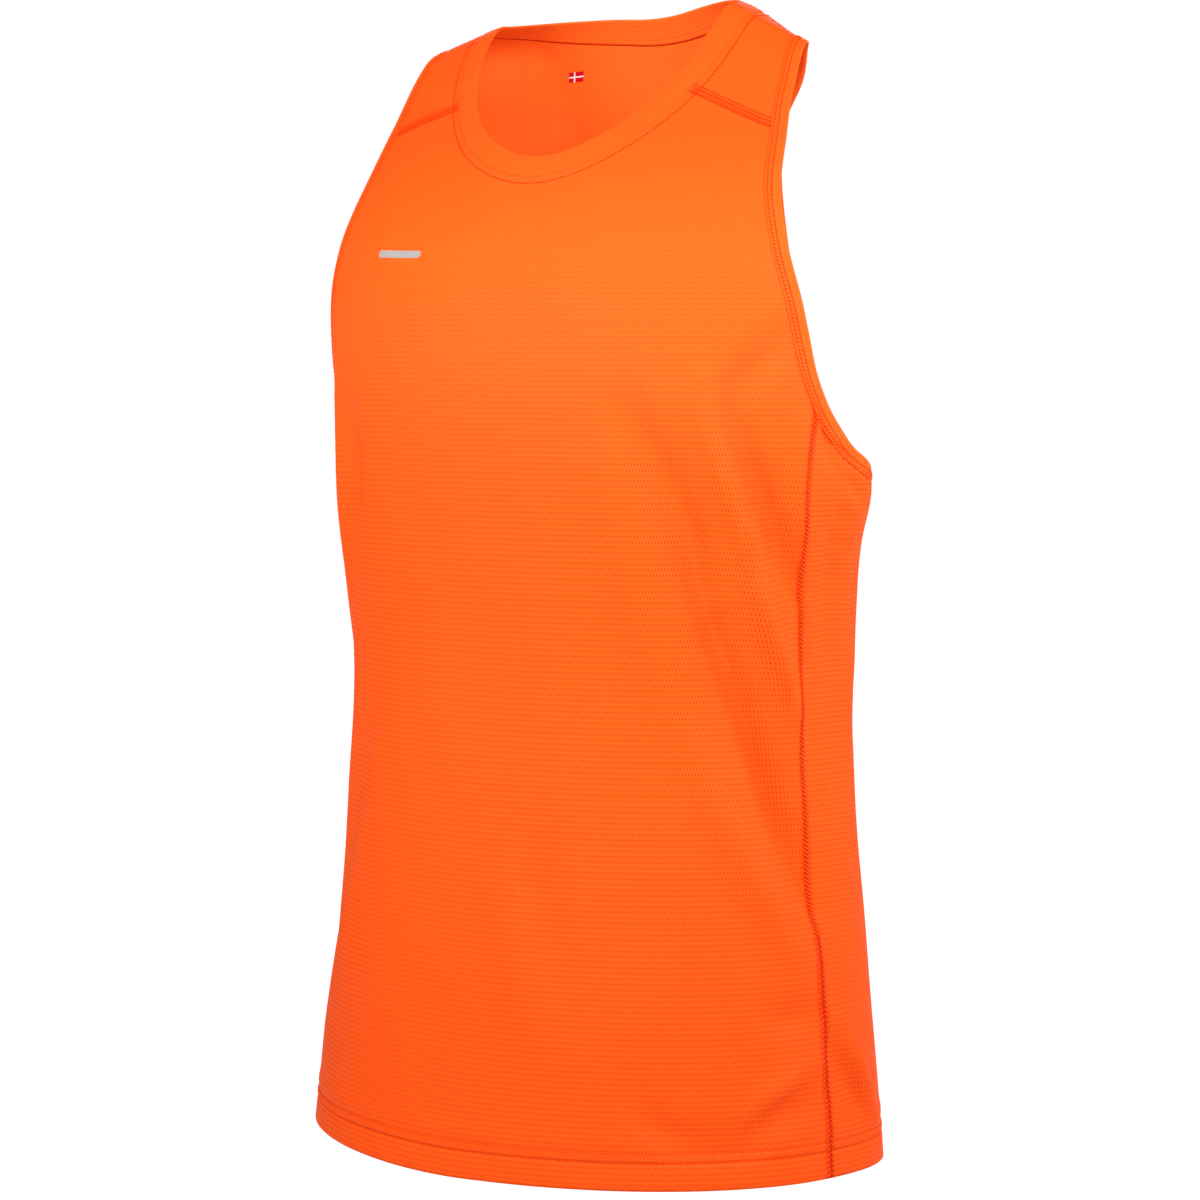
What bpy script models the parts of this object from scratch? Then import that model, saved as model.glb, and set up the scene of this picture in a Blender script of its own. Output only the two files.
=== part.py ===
"""Running singlet: two knit panels, a neckband and two armhole bindings, hollow and filled out as when worn.

Metres, +Z up. The front faces -Y and the wearer's left is +X. The origin is on the centre line, at the
height where the middles of the two shoulder straps rest on the wearer.

Every piece lies on one form. A spot on the form is (turn, run): turn is in degrees from the centre line
towards the wearer's left, and run is the way down the cloth from the top of the shoulders, positive down the
front and negative down the back.
"""

import bmesh
import bpy
import numpy as np
from mathutils import Vector
from mathutils.geometry import delaunay_2d_cdt

# ---- driving sizes ----------------------------------------------------------------------------------------
SHOULDER_TOP = 0.018        # the top of the shoulders, on the centre line, above the origin
LENGTH = 0.715              # hem below the shoulder top
SHOULDER_REACH = 0.200      # the form rounds over from here, below the shoulder top, to the shoulder line
SHOULDER_RUN = 0.320        # run of the cloth over that height
RUN_EASE = 1.3              # spreads the rows of the rounded shoulder more evenly
SHOULDER_SLOPE = 0.46       # fall of the shoulder line towards the arm
SLOPE_START = 0.020         # the slope starts this far from the centre line
SLOPE_ROUND = 0.050         # and sets in over this distance
SHOULDER_LIFT = 0.0045      # the centre of the shoulder line is this much above the shoulder top
SHOULDER_LEAN = 0.09        # the wearer's left shoulder stands higher, by this share of the distance aside
LEAN_WIDTH = 0.100          # the lean fades out beyond this distance aside
BACK_DRIFT = 0.011          # the upper back hangs this far towards the wearer's right
DRIFT_START, DRIFT_RISE = 0.020, 0.050      # below the shoulder top, where the drift sets in
DRIFT_END, DRIFT_FALL = 0.290, 0.060        # and where it is gone
SHOULDER_SETBACK = 0.016    # the shoulder line lies behind the body's centre
FRONT_ROUND = 0.57          # share of a round shoulder in front, the rest slopes straight
BACK_ROUND = 0.62           # under 1, the back stands up behind the neck
BACK_SLOPE = 0.74           # by the arms, this share of the back slopes away steeply
BACK_SLOPE_START = 0.46     # of the half width, where that slope sets in
BACK_SLOPE_WIDTH = 0.30
HEM_TILT = 0.016            # the hem is this much higher at the wearer's right side
HEM_TILT_WIDTH = 0.180      # reached this far from the centre line
NECK_BACK_ROUND = 3.3       # makes the back neck edge a round curve from above
SQUARENESS = 2.25           # 2 is an ellipse, more is squarer
BEHIND_RATE = 3.0           # how soon behind the true side the back's own width is reached
DRIFT_RATE = 2.5            # and the back's drift
GIRTH_RADIUS = 0.155        # mean radius of the body, turns degrees into distance

NECK_HALF_WIDTH = 0.0855    # finished edge of the neckband, at the shoulder line
NECK_DEPTH_FRONT = 0.1017
NECK_DEPTH_BACK = 0.0143
NECKBAND_WIDTH = 0.0155
BINDING_WIDTH = 0.0105
SHOULDER_SEAM_DROP = 0.058  # the shoulder seam lies in front, this far below the shoulder top
HEM_DEPTH = 0.021

SEAM_GAP = 0.0003
KNIT = 0.0013               # wall of the panels
HEM_KNIT = 0.0022           # two layers at the hem
BAND_KNIT = 0.0018          # folded strips
BAND_PROUD = 0.0004         # the strips stand this far out of the panels

ORANGE, ROUGHNESS = (1.0, 0.135, 0.012), 0.58
BAND_ORANGE, BAND_ROUGHNESS = (1.0, 0.150, 0.016), 0.62

# How far out the cloth stands at each drop. Above the underarm the back is narrower than the front.
DROP, FRONT_WIDTH, BACK_WIDTH, FRONT, BACK = range(5)
BODY = np.array((
    (0.000, 0.192, 0.192, 0.080, 0.092),
    (0.025, 0.195, 0.172, 0.080, 0.092),
    (0.060, 0.198, 0.150, 0.082, 0.092),
    (0.100, 0.196, 0.136, 0.089, 0.094),
    (0.150, 0.193, 0.132, 0.098, 0.098),
    (0.200, 0.190, 0.139, 0.106, 0.101),
    (0.240, 0.187, 0.151, 0.109, 0.103),
    (0.280, 0.184, 0.163, 0.110, 0.104),
    (0.320, 0.180, 0.171, 0.112, 0.104),
    (0.360, 0.173, 0.171, 0.114, 0.103),
    (0.400, 0.169, 0.169, 0.115, 0.103),
    (0.500, 0.169, 0.169, 0.124, 0.108),
    (0.620, 0.178, 0.178, 0.141, 0.117),
    (0.720, 0.186, 0.186, 0.153, 0.128),
))

# The armhole's finished edge, from the shoulder line down the front, under the arm and up the back.
EDGE_TURN, EDGE_DROP = range(2)
ARMHOLE = np.array((
    (44.5, 0.000),
    (45.8, 0.020),
    (46.6, 0.050),
    (50.5, 0.095),
    (58.5, 0.147),
    (67.5, 0.197),
    (74.0, 0.236),
    (84.5, 0.268),
    (97.0, 0.286),
    (106.0, 0.280),
    (112.5, 0.256),
    (117.0, 0.220),
    (122.5, 0.165),
    (124.5, 0.110),
    (128.5, 0.058),
    (130.8, 0.040),
    (133.6, 0.022),
    (136.0, 0.008),
    (135.5, 0.000),
))

# The side seam runs forward of the true side.
SEAM_DROP, SEAM_TURN = range(2)
SIDE_SEAM = np.array((
    (0.250, 73.5),
    (0.300, 71.5),
    (0.340, 74.0),
    (0.380, 76.4),
    (0.450, 78.3),
    (0.530, 81.0),
    (0.590, 83.0),
    (0.650, 83.2),
    (0.720, 82.3),
))

# The largest folds: soft ridges (height over 0) and troughs, each along a bent line of three spots.
FOLDS = (
    # turn_1, drop_1, turn_2, drop_2, turn_3, drop_3, half_width, height
    (24.0, 0.252, 39.0, 0.315, 51.0, 0.385, 0.013, -0.0092),  # front, left
    (51.0, 0.385, 66.0, 0.466, 80.0, 0.552, 0.012, -0.0124),
    (64.0, 0.212, 46.0, 0.232, 50.0, 0.262, 0.011, -0.0042),
    (50.0, 0.262, 58.0, 0.302, 73.0, 0.362, 0.010, -0.0078),
    (42.0, 0.238, 45.0, 0.290, 56.0, 0.326, 0.011, 0.0064),
    (56.0, 0.326, 65.0, 0.380, 76.0, 0.432, 0.010, 0.0084),
    (22.0, 0.290, 33.0, 0.385, 44.0, 0.448, 0.018, 0.0048),
    (44.0, 0.448, 60.0, 0.530, 77.0, 0.582, 0.013, 0.0062),
    (68.0, 0.262, 70.0, 0.300, 72.0, 0.340, 0.008, 0.0036),
    (81.0, 0.660, 70.0, 0.667, 59.0, 0.693, 0.009, -0.0042),  # above the hem
    (59.0, 0.672, 68.0, 0.658, 79.0, 0.647, 0.008, 0.0040),
    (66.0, 0.614, 72.0, 0.620, 81.0, 0.614, 0.010, -0.0040),
    (33.0, 0.650, 38.0, 0.698, 60.0, 0.690, 0.010, -0.0040),
    (9.0, 0.520, 13.0, 0.555, 18.0, 0.605, 0.014, -0.0032),
    (84.0, 0.325, 87.0, 0.360, 89.0, 0.410, 0.010, -0.0040),  # side, behind the seam
    (86.0, 0.612, 92.0, 0.650, 103.0, 0.686, 0.009, 0.0052),
    (85.0, 0.640, 90.0, 0.664, 99.0, 0.690, 0.009, -0.0046),
    (112.0, 0.430, 113.0, 0.480, 110.0, 0.560, 0.012, -0.0046),
    (-47.0, 0.245, -37.0, 0.300, -54.0, 0.370, 0.009, -0.0046),  # front, right
    (-58.0, 0.250, -49.0, 0.310, -64.0, 0.390, 0.010, 0.0039),
    (-40.0, 0.430, -50.0, 0.520, -62.0, 0.620, 0.018, -0.0048),
    (-84.0, 0.500, -90.0, 0.580, -88.0, 0.700, 0.014, -0.0034),
    (-98.0, 0.420, -96.0, 0.520, -104.0, 0.640, 0.014, 0.0056),
    (84.0, 0.300, 102.0, 0.300, 116.0, 0.300, 0.030, 0.0090),  # the flare under each arm
    (-84.0, 0.300, -102.0, 0.300, -116.0, 0.300, 0.030, 0.0090),
    (142.0, 0.230, 152.0, 0.330, 136.0, 0.440, 0.018, -0.0065),  # back
    (-140.0, 0.240, -150.0, 0.350, -138.0, 0.470, 0.020, -0.0059),
    (168.0, 0.400, 172.0, 0.520, 166.0, 0.660, 0.020, -0.0052),
    (-164.0, 0.460, -168.0, 0.560, -162.0, 0.690, 0.018, -0.0056),
    (126.0, 0.470, 130.0, 0.580, 124.0, 0.700, 0.016, 0.0052),
    (-122.0, 0.500, -126.0, 0.600, -120.0, 0.700, 0.016, 0.0056),
)

# ---- mesh sizes -------------------------------------------------------------------------------------------
NECK_STEPS = 52             # samples round the neck, even, so that one lies on each centre line
ARMHOLE_STEPS = 72
SEAM_STEP = 0.021           # spacing along the straight seams and the hem
LATTICE_ACROSS = 0.0165     # spacing of the panels' inner points
LATTICE_DOWN = 0.0225
BAND_ROWS = 3
LATTICE_ROOM = 0.42         # of the spacing, kept clear along a panel's border
HEM_SPACING = 0.9           # of SEAM_STEP
LINE_SAMPLES = 600          # of a line before it is spaced evenly
FOLD_PARTS = 10             # straight parts of a fold's line
FOLD_ENDS = 0.35            # height of a fold's ends, as a share
STEP_ROUNDS = 5
SMALL_TURN = 0.05
SMALL_RUN = 0.0001
CORNER_BLEND = 0.030        # the side seam swings over to its end on the armhole within this drop
ASIDE_TURN = 10.0           # a spot this far off tells the sides of a seam apart
ASIDE_RUN = 0.050
MIDWAY_TURN = 60.0          # tells the underarm from the shoulder line
MERGE = 1e-6
SHARP_ANGLE = 50.0
RIM_SPLIT = np.array((0.0, 1.0, 0.35))


# ---- the form ---------------------------------------------------------------------------------------------
def smooth(x, xs, ys):
    """A smooth curve through the rows (xs, ys), read at x."""
    slopes = np.gradient(ys, xs)
    i = np.clip(np.searchsorted(xs, x) - 1, 0, len(xs) - 2)
    width = xs[i + 1] - xs[i]
    t = np.clip((x - xs[i]) / width, 0.0, 1.0)
    start = (2 * t**3 - 3 * t**2 + 1) * ys[i] + (t**3 - 2 * t**2 + t) * width * slopes[i]
    end = (3 * t**2 - 2 * t**3) * ys[i + 1] + (t**3 - t**2) * width * slopes[i + 1]
    return start + end


def drop_of_run(run):
    """How far below the shoulder top the cloth is, after this run down it."""
    over = 0.5 * np.pi * np.clip(run / SHOULDER_RUN, 0.0, 1.0) ** RUN_EASE
    return SHOULDER_REACH * (1 - np.cos(over)) + np.maximum(run - SHOULDER_RUN, 0.0)


def run_of_drop(drop):
    """The run after which the cloth is this far below the shoulder top."""
    over = np.arccos(np.clip(1 - drop / SHOULDER_REACH, 0.0, 1.0))
    return np.where(drop < SHOULDER_REACH, SHOULDER_RUN * (2 * over / np.pi) ** (1 / RUN_EASE),
                    SHOULDER_RUN + drop - SHOULDER_REACH)


def ease(share):
    """0 to 1 with soft ends."""
    share = np.clip(share, 0.0, 1.0)
    return share**2 * (3 - 2 * share)


def signed_power(value, power):
    """A power that keeps the sign."""
    return np.sign(value) * np.abs(value) ** power


def round_turn(spots):
    """The turn all round the body, 0 at the centre front and 180 at the centre back, and the drop."""
    turn, run = spots[..., 0], spots[..., 1]
    full = np.where(run < 0, np.sign(turn) * (180 - np.abs(turn)), turn)
    full = np.where((run < 0) & (turn == 0), 180.0, full)
    return full, drop_of_run(np.abs(run))


def bare_form(spots):
    """Places of the spots, the same on both sides and before the folds."""
    turn, drop = round_turn(spots)
    angle = np.radians(turn)
    up = np.clip(1 - drop / SHOULDER_REACH, 0.0, 1.0)       # 1 on the shoulder line, 0 below the shoulders
    out = np.sqrt(1 - up**2)
    wide_front, wide_back, front, back = (
        smooth(drop, BODY[:, DROP], BODY[:, k]) for k in (FRONT_WIDTH, BACK_WIDTH, FRONT, BACK))
    half_width = wide_front + (wide_back - wide_front) * ease(-BEHIND_RATE * np.cos(angle))
    side = signed_power(np.sin(angle), 2 / SQUARENESS)
    ahead = signed_power(np.cos(angle), 2 / SQUARENESS)
    reach_front = front * (FRONT_ROUND * out + (1 - FRONT_ROUND) * out**2)
    sloping = BACK_SLOPE * ease((np.abs(side) - BACK_SLOPE_START) / BACK_SLOPE_WIDTH)
    reach_back = back * ((1 - sloping) * out**BACK_ROUND + sloping * out**4)
    shoulders = ease(up)
    x = half_width * side
    y = np.where(ahead > 0, -reach_front * ahead, -reach_back * ahead) + SHOULDER_SETBACK * shoulders
    beyond = np.maximum(np.abs(x) - SLOPE_START, 0.0)
    fall = (SHOULDER_SLOPE * (np.hypot(beyond, SLOPE_ROUND) - SLOPE_ROUND) - SHOULDER_LIFT) * shoulders
    return np.stack([x, y, SHOULDER_TOP - drop - fall], axis=-1)


def hang(spots):
    """Places of the spots as the garment hangs: shoulders and hem askew, the back a little aside."""
    places = bare_form(spots)
    x = places[..., 0]
    turn, drop = round_turn(spots)
    lean = SHOULDER_LEAN * x * np.exp(-((x / LEAN_WIDTH) ** 4)) * ease(1 - drop / SHOULDER_REACH)
    tilt = HEM_TILT * (np.maximum(-x, 0.0) / HEM_TILT_WIDTH) ** 1.5 * (drop / LENGTH) ** 5
    drift = BACK_DRIFT * ease(-DRIFT_RATE * np.cos(np.radians(turn)))
    drift *= ease((drop - DRIFT_START) / DRIFT_RISE) * ease((DRIFT_END - drop) / DRIFT_FALL)
    return places + np.stack([-drift, np.zeros_like(x), lean + tilt], axis=-1)


def flat(spots):
    """Turn and run as distances, as if the cloth were laid out."""
    return np.stack([np.radians(spots[:, 0]) * GIRTH_RADIUS, spots[:, 1]], axis=-1)


def slopes_of(place, spots):
    """How a place moves with the turn and with the run."""
    turn_step = np.array((SMALL_TURN, 0.0))
    run_step = np.array((0.0, SMALL_RUN))
    by_turn = (place(spots + turn_step) - place(spots - turn_step)) / (2 * SMALL_TURN)
    by_run = (place(spots + run_step) - place(spots - run_step)) / (2 * SMALL_RUN)
    return by_turn, by_run


def outward(spots, place=None):
    """The direction straight out of the cloth, on the bare form or on the folded one."""
    by_turn, by_run = slopes_of(place or bare_form, spots)
    normal = np.cross(by_run, by_turn)
    return normal / np.linalg.norm(normal, axis=-1, keepdims=True)


def fold_height(spots):
    """How far the folds lift the cloth off the form."""
    turn, drop = round_turn(spots)
    here = np.stack([np.radians(turn) * GIRTH_RADIUS, drop], axis=-1)
    lift = np.zeros(turn.shape)
    for turn_1, drop_1, turn_2, drop_2, turn_3, drop_3, half_width, height in FOLDS:
        ends = np.array(((turn_1, drop_1), (turn_2, drop_2), (turn_3, drop_3)))
        ends[:, 0] = np.radians(ends[:, 0]) * GIRTH_RADIUS
        shares = np.linspace(0.0, 1.0, FOLD_PARTS + 1)[:, None]
        bend = (1 - shares) ** 2 * ends[0] + 2 * shares * (1 - shares) * ends[1] + shares**2 * ends[2]
        nearest = np.full(turn.shape, np.inf)
        along = np.zeros(turn.shape)
        for part in range(FOLD_PARTS):
            edge = bend[part + 1] - bend[part]
            share = np.clip((here - bend[part]) @ edge / (edge @ edge), 0.0, 1.0)
            away = np.linalg.norm(here - bend[part] - share[..., None] * edge, axis=-1)
            along = np.where(away < nearest, (part + share) / FOLD_PARTS, along)
            nearest = np.minimum(away, nearest)
        full = FOLD_ENDS + (1 - FOLD_ENDS) * np.sin(np.pi * along)
        lift += height * full * np.exp(-(nearest / half_width) ** 2)
    return lift


def form(spots):
    """Places of the spots on the cloth's outside, folds and all."""
    return hang(spots) + fold_height(spots)[..., None] * outward(spots)


def step(spots, way, distance):
    """The spots that lie this distance away along the cloth, in the direction way."""
    target = bare_form(spots) + way * distance
    moved = spots.copy()
    for _ in range(STEP_ROUNDS):
        by_turn, by_run = slopes_of(bare_form, moved)
        miss = target - bare_form(moved)
        a, b, c = (by_turn**2).sum(-1), (by_turn * by_run).sum(-1), (by_run**2).sum(-1)
        p, q = (by_turn * miss).sum(-1), (by_run * miss).sum(-1)
        moved += np.stack([(c * p - b * q), (a * q - b * p)], axis=-1) / (a * c - b * b)[..., None]
    return moved


# ---- seam lines -------------------------------------------------------------------------------------------
def lengths_along(points):
    """The length of the line up to each of its points."""
    return np.append(0.0, np.cumsum(np.linalg.norm(np.diff(points, axis=0), axis=1)))


def evenly(spots, count, values=None):
    """Rows of values, by default the spots, evenly spaced along the spots' line, without its last."""
    values = spots if values is None else values
    lengths = lengths_along(bare_form(spots))
    wanted = np.linspace(0.0, lengths[-1], count + 1)[:-1]
    return np.stack([np.interp(wanted, lengths, values[:, k]) for k in range(2)], axis=-1)


def neck_edge():
    """The finished neck edge as a loop, from the centre front by the wearer's left."""
    def quarter(depth, power, width, side):
        swing = np.linspace(0.0, 0.5 * np.pi, LINE_SAMPLES)
        drop = depth * np.sin(swing) ** power
        share = NECK_HALF_WIDTH * np.cos(swing) / smooth(drop, BODY[:, DROP], BODY[:, width])
        turn = np.degrees(np.arcsin(share ** (SQUARENESS / 2)))
        return np.stack([turn, side * run_of_drop(drop)], axis=-1)

    front = quarter(NECK_DEPTH_FRONT, 1, FRONT_WIDTH, 1)
    back = quarter(NECK_DEPTH_BACK, NECK_BACK_ROUND, BACK_WIDTH, -1)
    half = np.concatenate([front[::-1], back[1:]])
    left = evenly(half, NECK_STEPS // 2)
    right = evenly(half[::-1], NECK_STEPS // 2) * (-1, 1)
    return np.concatenate([left, right])


def unfold(line):
    """Spots from a turn counted all round and a run that is positive on both sides."""
    turn, run = line[:, 0], line[:, 1]
    behind = turn > 90
    return np.stack([np.where(behind, 180 - turn, turn), np.where(behind, -run, run)], axis=-1)


def armhole_edge():
    """The wearer's left armhole as a loop, from the shoulder line down the front."""
    rows = np.stack([ARMHOLE[:, EDGE_TURN], run_of_drop(ARMHOLE[:, EDGE_DROP])], axis=-1)
    knots = lengths_along(flat(rows))
    fine = np.linspace(0.0, knots[-1], 2 * LINE_SAMPLES)
    line = np.stack([smooth(fine, knots, rows[:, k]) for k in range(2)], axis=-1)
    line[:, 1] = np.maximum(line[:, 1], 0.0)
    return unfold(evenly(unfold(line), ARMHOLE_STEPS, line))


def away_from_hole(edge):
    """For each spot of a loop, the direction along the cloth and away from the hole that it bounds."""
    places = bare_form(edge)
    along = np.roll(places, -1, axis=0) - np.roll(places, 1, axis=0)
    across = np.cross(outward(edge), along)
    across /= np.linalg.norm(across, axis=1, keepdims=True)
    if ((places - places.mean(axis=0)) * across).sum() < 0:
        across = -across
    return across


def as_front(spots):
    """The same spots below the shoulders, with turn and run counted as on the front."""
    at_back = spots[:, 1] < 0
    return np.where(at_back[:, None], np.stack([180 - spots[:, 0], -spots[:, 1]], axis=-1), spots)


def as_back(spots):
    """Spots counted as on the front, counted as on the back."""
    return np.stack([180 - spots[:, 0], -spots[:, 1]], axis=-1)


def line_between(start, end, spacing):
    """Spots between two ends, evenly spaced, without the ends."""
    length = np.linalg.norm(bare_form(end) - bare_form(start))
    shares = np.linspace(0.0, 1.0, max(2, round(length / spacing)) + 1)[1:-1]
    return start + shares[:, None] * (end - start)


def seam_side(line, toward, distance):
    """A seam line moved along the cloth, square to itself, to the side where the spot toward lies."""
    places = bare_form(line)
    along = np.gradient(places, axis=0)
    across = np.cross(outward(line), along)
    across /= np.linalg.norm(across, axis=1, keepdims=True)
    middle = len(line) // 2
    if (bare_form(toward) - places[middle]) @ across[middle] < 0:
        across = -across
    return step(line, across, distance)


# ---- making meshes ----------------------------------------------------------------------------------------
def fabric(name, color, roughness):
    """The piece's own material."""
    material = bpy.data.materials.new(name)
    material.use_nodes = True
    shader = material.node_tree.nodes["Principled BSDF"]
    shader.inputs["Base Color"].default_value = (*color, 1.0)
    shader.inputs["Roughness"].default_value = roughness
    shader.inputs["Metallic"].default_value = 0.0
    return material


def cloth(name, spots, faces, thickness, proud, color, roughness):
    """A named piece: its outside goes through the spots, its inside lies this thickness further in."""
    normals = outward(spots, form)
    outside = form(spots) + proud * normals
    inner = outside - np.reshape(thickness, (-1, 1)) * normals
    a, b, c = outside[faces[0][0]], outside[faces[0][1]], outside[faces[0][2]]
    if np.cross(b - a, c - a) @ normals[faces[0][0]] < 0:
        faces = [tuple(reversed(face)) for face in faces]
    count = len(spots)
    bm = bmesh.new()
    vertices = [bm.verts.new(p) for p in np.concatenate([outside, inner])]
    sides = {(face[k - 1], face[k]) for face in faces for k in range(len(face))}
    for face in faces:
        bm.faces.new([vertices[i] for i in face])
        bm.faces.new([vertices[i + count] for i in reversed(face)])
    for i, j in sorted(sides):
        if (j, i) in sides:
            continue
        # Each rim face splits from its outer corner that is further back, so that the rims along a seam
        # run parallel.
        from_i = (outside[i] - outside[j]) @ RIM_SPLIT > 0
        corners = (j, i, i + count, j + count) if from_i else (i, i + count, j + count, j)
        first, second, third, fourth = (vertices[k] for k in corners)
        bm.faces.new([first, second, fourth])
        bm.faces.new([second, third, fourth])
    mesh = bpy.data.meshes.new(name)
    bm.to_mesh(mesh)
    bm.free()
    mesh.shade_smooth()
    mesh.set_sharp_from_angle(angle=np.radians(SHARP_ANGLE))
    mesh.materials.append(fabric(name, color, roughness))
    piece = bpy.data.objects.new(name, mesh)
    bpy.context.scene.collection.objects.link(piece)
    return piece


def band(name, edge, width, mirror):
    """A closed strip along a loop, from its finished edge to its seam."""
    across = away_from_hole(edge)
    rows = [step(edge, across, width * share) for share in np.linspace(0.0, 1.0, BAND_ROWS)]
    spots = np.concatenate(rows) * (mirror, 1)
    count = len(edge)
    faces = []
    for row in range(BAND_ROWS - 1):
        for i in range(count):
            j = (i + 1) % count
            here, below = row * count, (row + 1) * count
            faces += [(here + i, here + j, below + j), (here + i, below + j, below + i)]
    return cloth(name, spots, faces, np.full(len(spots), BAND_KNIT), BAND_PROUD, BAND_ORANGE, BAND_ROUGHNESS)


def inside(points, outline):
    """Whether each point lies inside the closed outline."""
    ends = np.roll(outline, -1, axis=0)
    result = np.zeros(len(points), dtype=bool)
    for (x1, y1), (x2, y2) in zip(outline, ends):
        crosses = (y1 > points[:, 1]) != (y2 > points[:, 1])
        if y1 != y2:
            result ^= crosses & (points[:, 0] < (x2 - x1) * (points[:, 1] - y1) / (y2 - y1) + x1)
    return result


def distance_to(points, outline):
    """How far each point is from the closed outline."""
    ends = np.roll(outline, -1, axis=0)
    best = np.full(len(points), np.inf)
    for start, end in zip(outline, ends):
        edge = end - start
        share = np.clip(((points - start) @ edge) / max(edge @ edge, 1e-12), 0.0, 1.0)
        best = np.minimum(best, np.linalg.norm(points - start - share[:, None] * edge, axis=1))
    return best


def panel(name, half_outline):
    """A panel from the outline of its left half, which runs from centre line to centre line."""
    centre = line_between(half_outline[-1], half_outline[0], LATTICE_DOWN)
    border = flat(np.concatenate([half_outline, centre]))
    across = np.arange(0.0, border[:, 0].max(), LATTICE_ACROSS)
    down = np.arange(border[:, 1].min(), border[:, 1].max(), LATTICE_DOWN)
    lattice = np.stack(np.meshgrid(across, down), axis=-1).reshape(-1, 2)
    room = LATTICE_ROOM * LATTICE_ACROSS
    lattice = lattice[inside(lattice, border) & (distance_to(lattice, border) > room)]
    count = len(border)
    edges = [(i, (i + 1) % count) for i in range(count)]
    points = [Vector(point) for point in np.concatenate([border, lattice])]
    vertices, _, faces, *_ = delaunay_2d_cdt(points, edges, [], 1, MERGE)
    found = np.array([tuple(vertex) for vertex in vertices])

    # The right half mirrors the left one, and shares its centre line.
    off_centre = np.flatnonzero(found[:, 0] > MERGE)
    mirrored = np.arange(len(found))
    mirrored[off_centre] = len(found) + np.arange(len(off_centre))
    faces = list(faces) + [tuple(mirrored[i] for i in reversed(face)) for face in faces]
    found = np.concatenate([found, found[off_centre] * (-1, 1)])
    spots = np.stack([np.degrees(found[:, 0] / GIRTH_RADIUS), found[:, 1]], axis=-1)
    wall = np.where(round_turn(spots)[1] > LENGTH - HEM_DEPTH, HEM_KNIT, KNIT)
    return cloth(name, spots, faces, wall, 0.0, ORANGE, ROUGHNESS)


# ---- the garment ------------------------------------------------------------------------------------------
def build():
    """All five pieces, seam against seam."""
    neck = neck_edge()
    armhole = armhole_edge()
    neck_seam = step(neck, away_from_hole(neck), NECKBAND_WIDTH + SEAM_GAP)
    armhole_seam = step(armhole, away_from_hole(armhole), BINDING_WIDTH + SEAM_GAP)

    # Where the shoulder and side seams meet the two loops: the nearest samples.
    half = NECK_STEPS // 2
    neck_drop = round_turn(neck_seam)[1]
    in_front = neck_seam[:half, 1] > 0
    neck_corner = int(np.argmin(np.where(in_front, np.abs(neck_drop[:half] - SHOULDER_SEAM_DROP), np.inf)))
    arm_turn, arm_drop = round_turn(armhole_seam)
    first = ARMHOLE_STEPS // 2
    arm_corner = int(np.argmin(np.abs(arm_drop[:first] - SHOULDER_SEAM_DROP)))
    seam_turn = smooth(arm_drop, SIDE_SEAM[:, SEAM_DROP], SIDE_SEAM[:, SEAM_TURN])
    side_corner = int(np.argmin(np.abs(arm_turn[:first] - seam_turn[:first])))

    # The shoulder seam, and the side seam down to the hem, in the front's turn and run.
    ends = neck_seam[neck_corner], armhole_seam[arm_corner]
    shoulder = np.concatenate([ends[:1], line_between(*ends, SEAM_STEP), ends[1:]])
    top = armhole_seam[side_corner]
    side_drop = np.linspace(drop_of_run(top[1]), LENGTH, round((LENGTH - drop_of_run(top[1])) / SEAM_STEP))
    side_turn = smooth(side_drop, SIDE_SEAM[:, SEAM_DROP], SIDE_SEAM[:, SEAM_TURN])
    side_turn += (top[0] - side_turn[0]) * np.exp(-(side_drop - side_drop[0]) / CORNER_BLEND)
    side = np.stack([side_turn, run_of_drop(side_drop)], axis=-1)

    front_shoulder = seam_side(shoulder, shoulder[1] + (0, ASIDE_RUN), SEAM_GAP / 2)
    back_shoulder = seam_side(shoulder, shoulder[1] - (0, ASIDE_RUN), SEAM_GAP / 2)
    front_side = seam_side(side, side[1] - (ASIDE_TURN, 0), SEAM_GAP / 2)
    back_side = as_back(seam_side(side, side[1] + (ASIDE_TURN, 0), SEAM_GAP / 2))

    hem_run = run_of_drop(LENGTH)
    front_side[-1, 1] = hem_run
    back_side[-1, 1] = -hem_run
    front_hem = line_between(front_side[-1], np.array((0.0, hem_run)), SEAM_STEP * HEM_SPACING)
    back_hem = line_between(back_side[-1], np.array((0.0, -hem_run)), SEAM_STEP * HEM_SPACING)

    front_arm = as_front(armhole_seam[arm_corner + 1:side_corner])
    front_outline = np.concatenate([
        neck_seam[:neck_corner], front_shoulder, front_arm, front_side, front_hem, [(0.0, hem_run)]])

    under_and_back = armhole_seam[side_corner + 1:]
    still_front = (under_and_back[:, 0] > MIDWAY_TURN) & (under_and_back[:, 1] > 0)
    under_and_back = np.where(still_front[:, None], as_back(under_and_back), under_and_back)
    over_top = armhole_seam[:arm_corner]
    back_outline = np.concatenate([
        neck_seam[neck_corner + 1:half + 1][::-1], back_shoulder, over_top[::-1], under_and_back[::-1],
        back_side, back_hem, [(0.0, -hem_run)]])

    panel("front_panel", front_outline)
    panel("back_panel", back_outline)
    band("neckband", neck, NECKBAND_WIDTH, 1)
    band("armhole_binding_left", armhole, BINDING_WIDTH, 1)
    band("armhole_binding_right", armhole, BINDING_WIDTH, -1)


for old in list(bpy.data.objects):
    bpy.data.objects.remove(old, do_unlink=True)
build()
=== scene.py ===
# %% [markdown]
# # A running singlet, as a lesson
#
# We take a imported model of five simple solids and turn it into cloth: a running top that is filled out as when
# worn, with nobody in it. First comes the frame, which is the set of solids that hold every piece's place and
# size. Each soft piece that we make later stands in for one of them.

# %% Load the frame and list its solids
from collections import namedtuple

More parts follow.
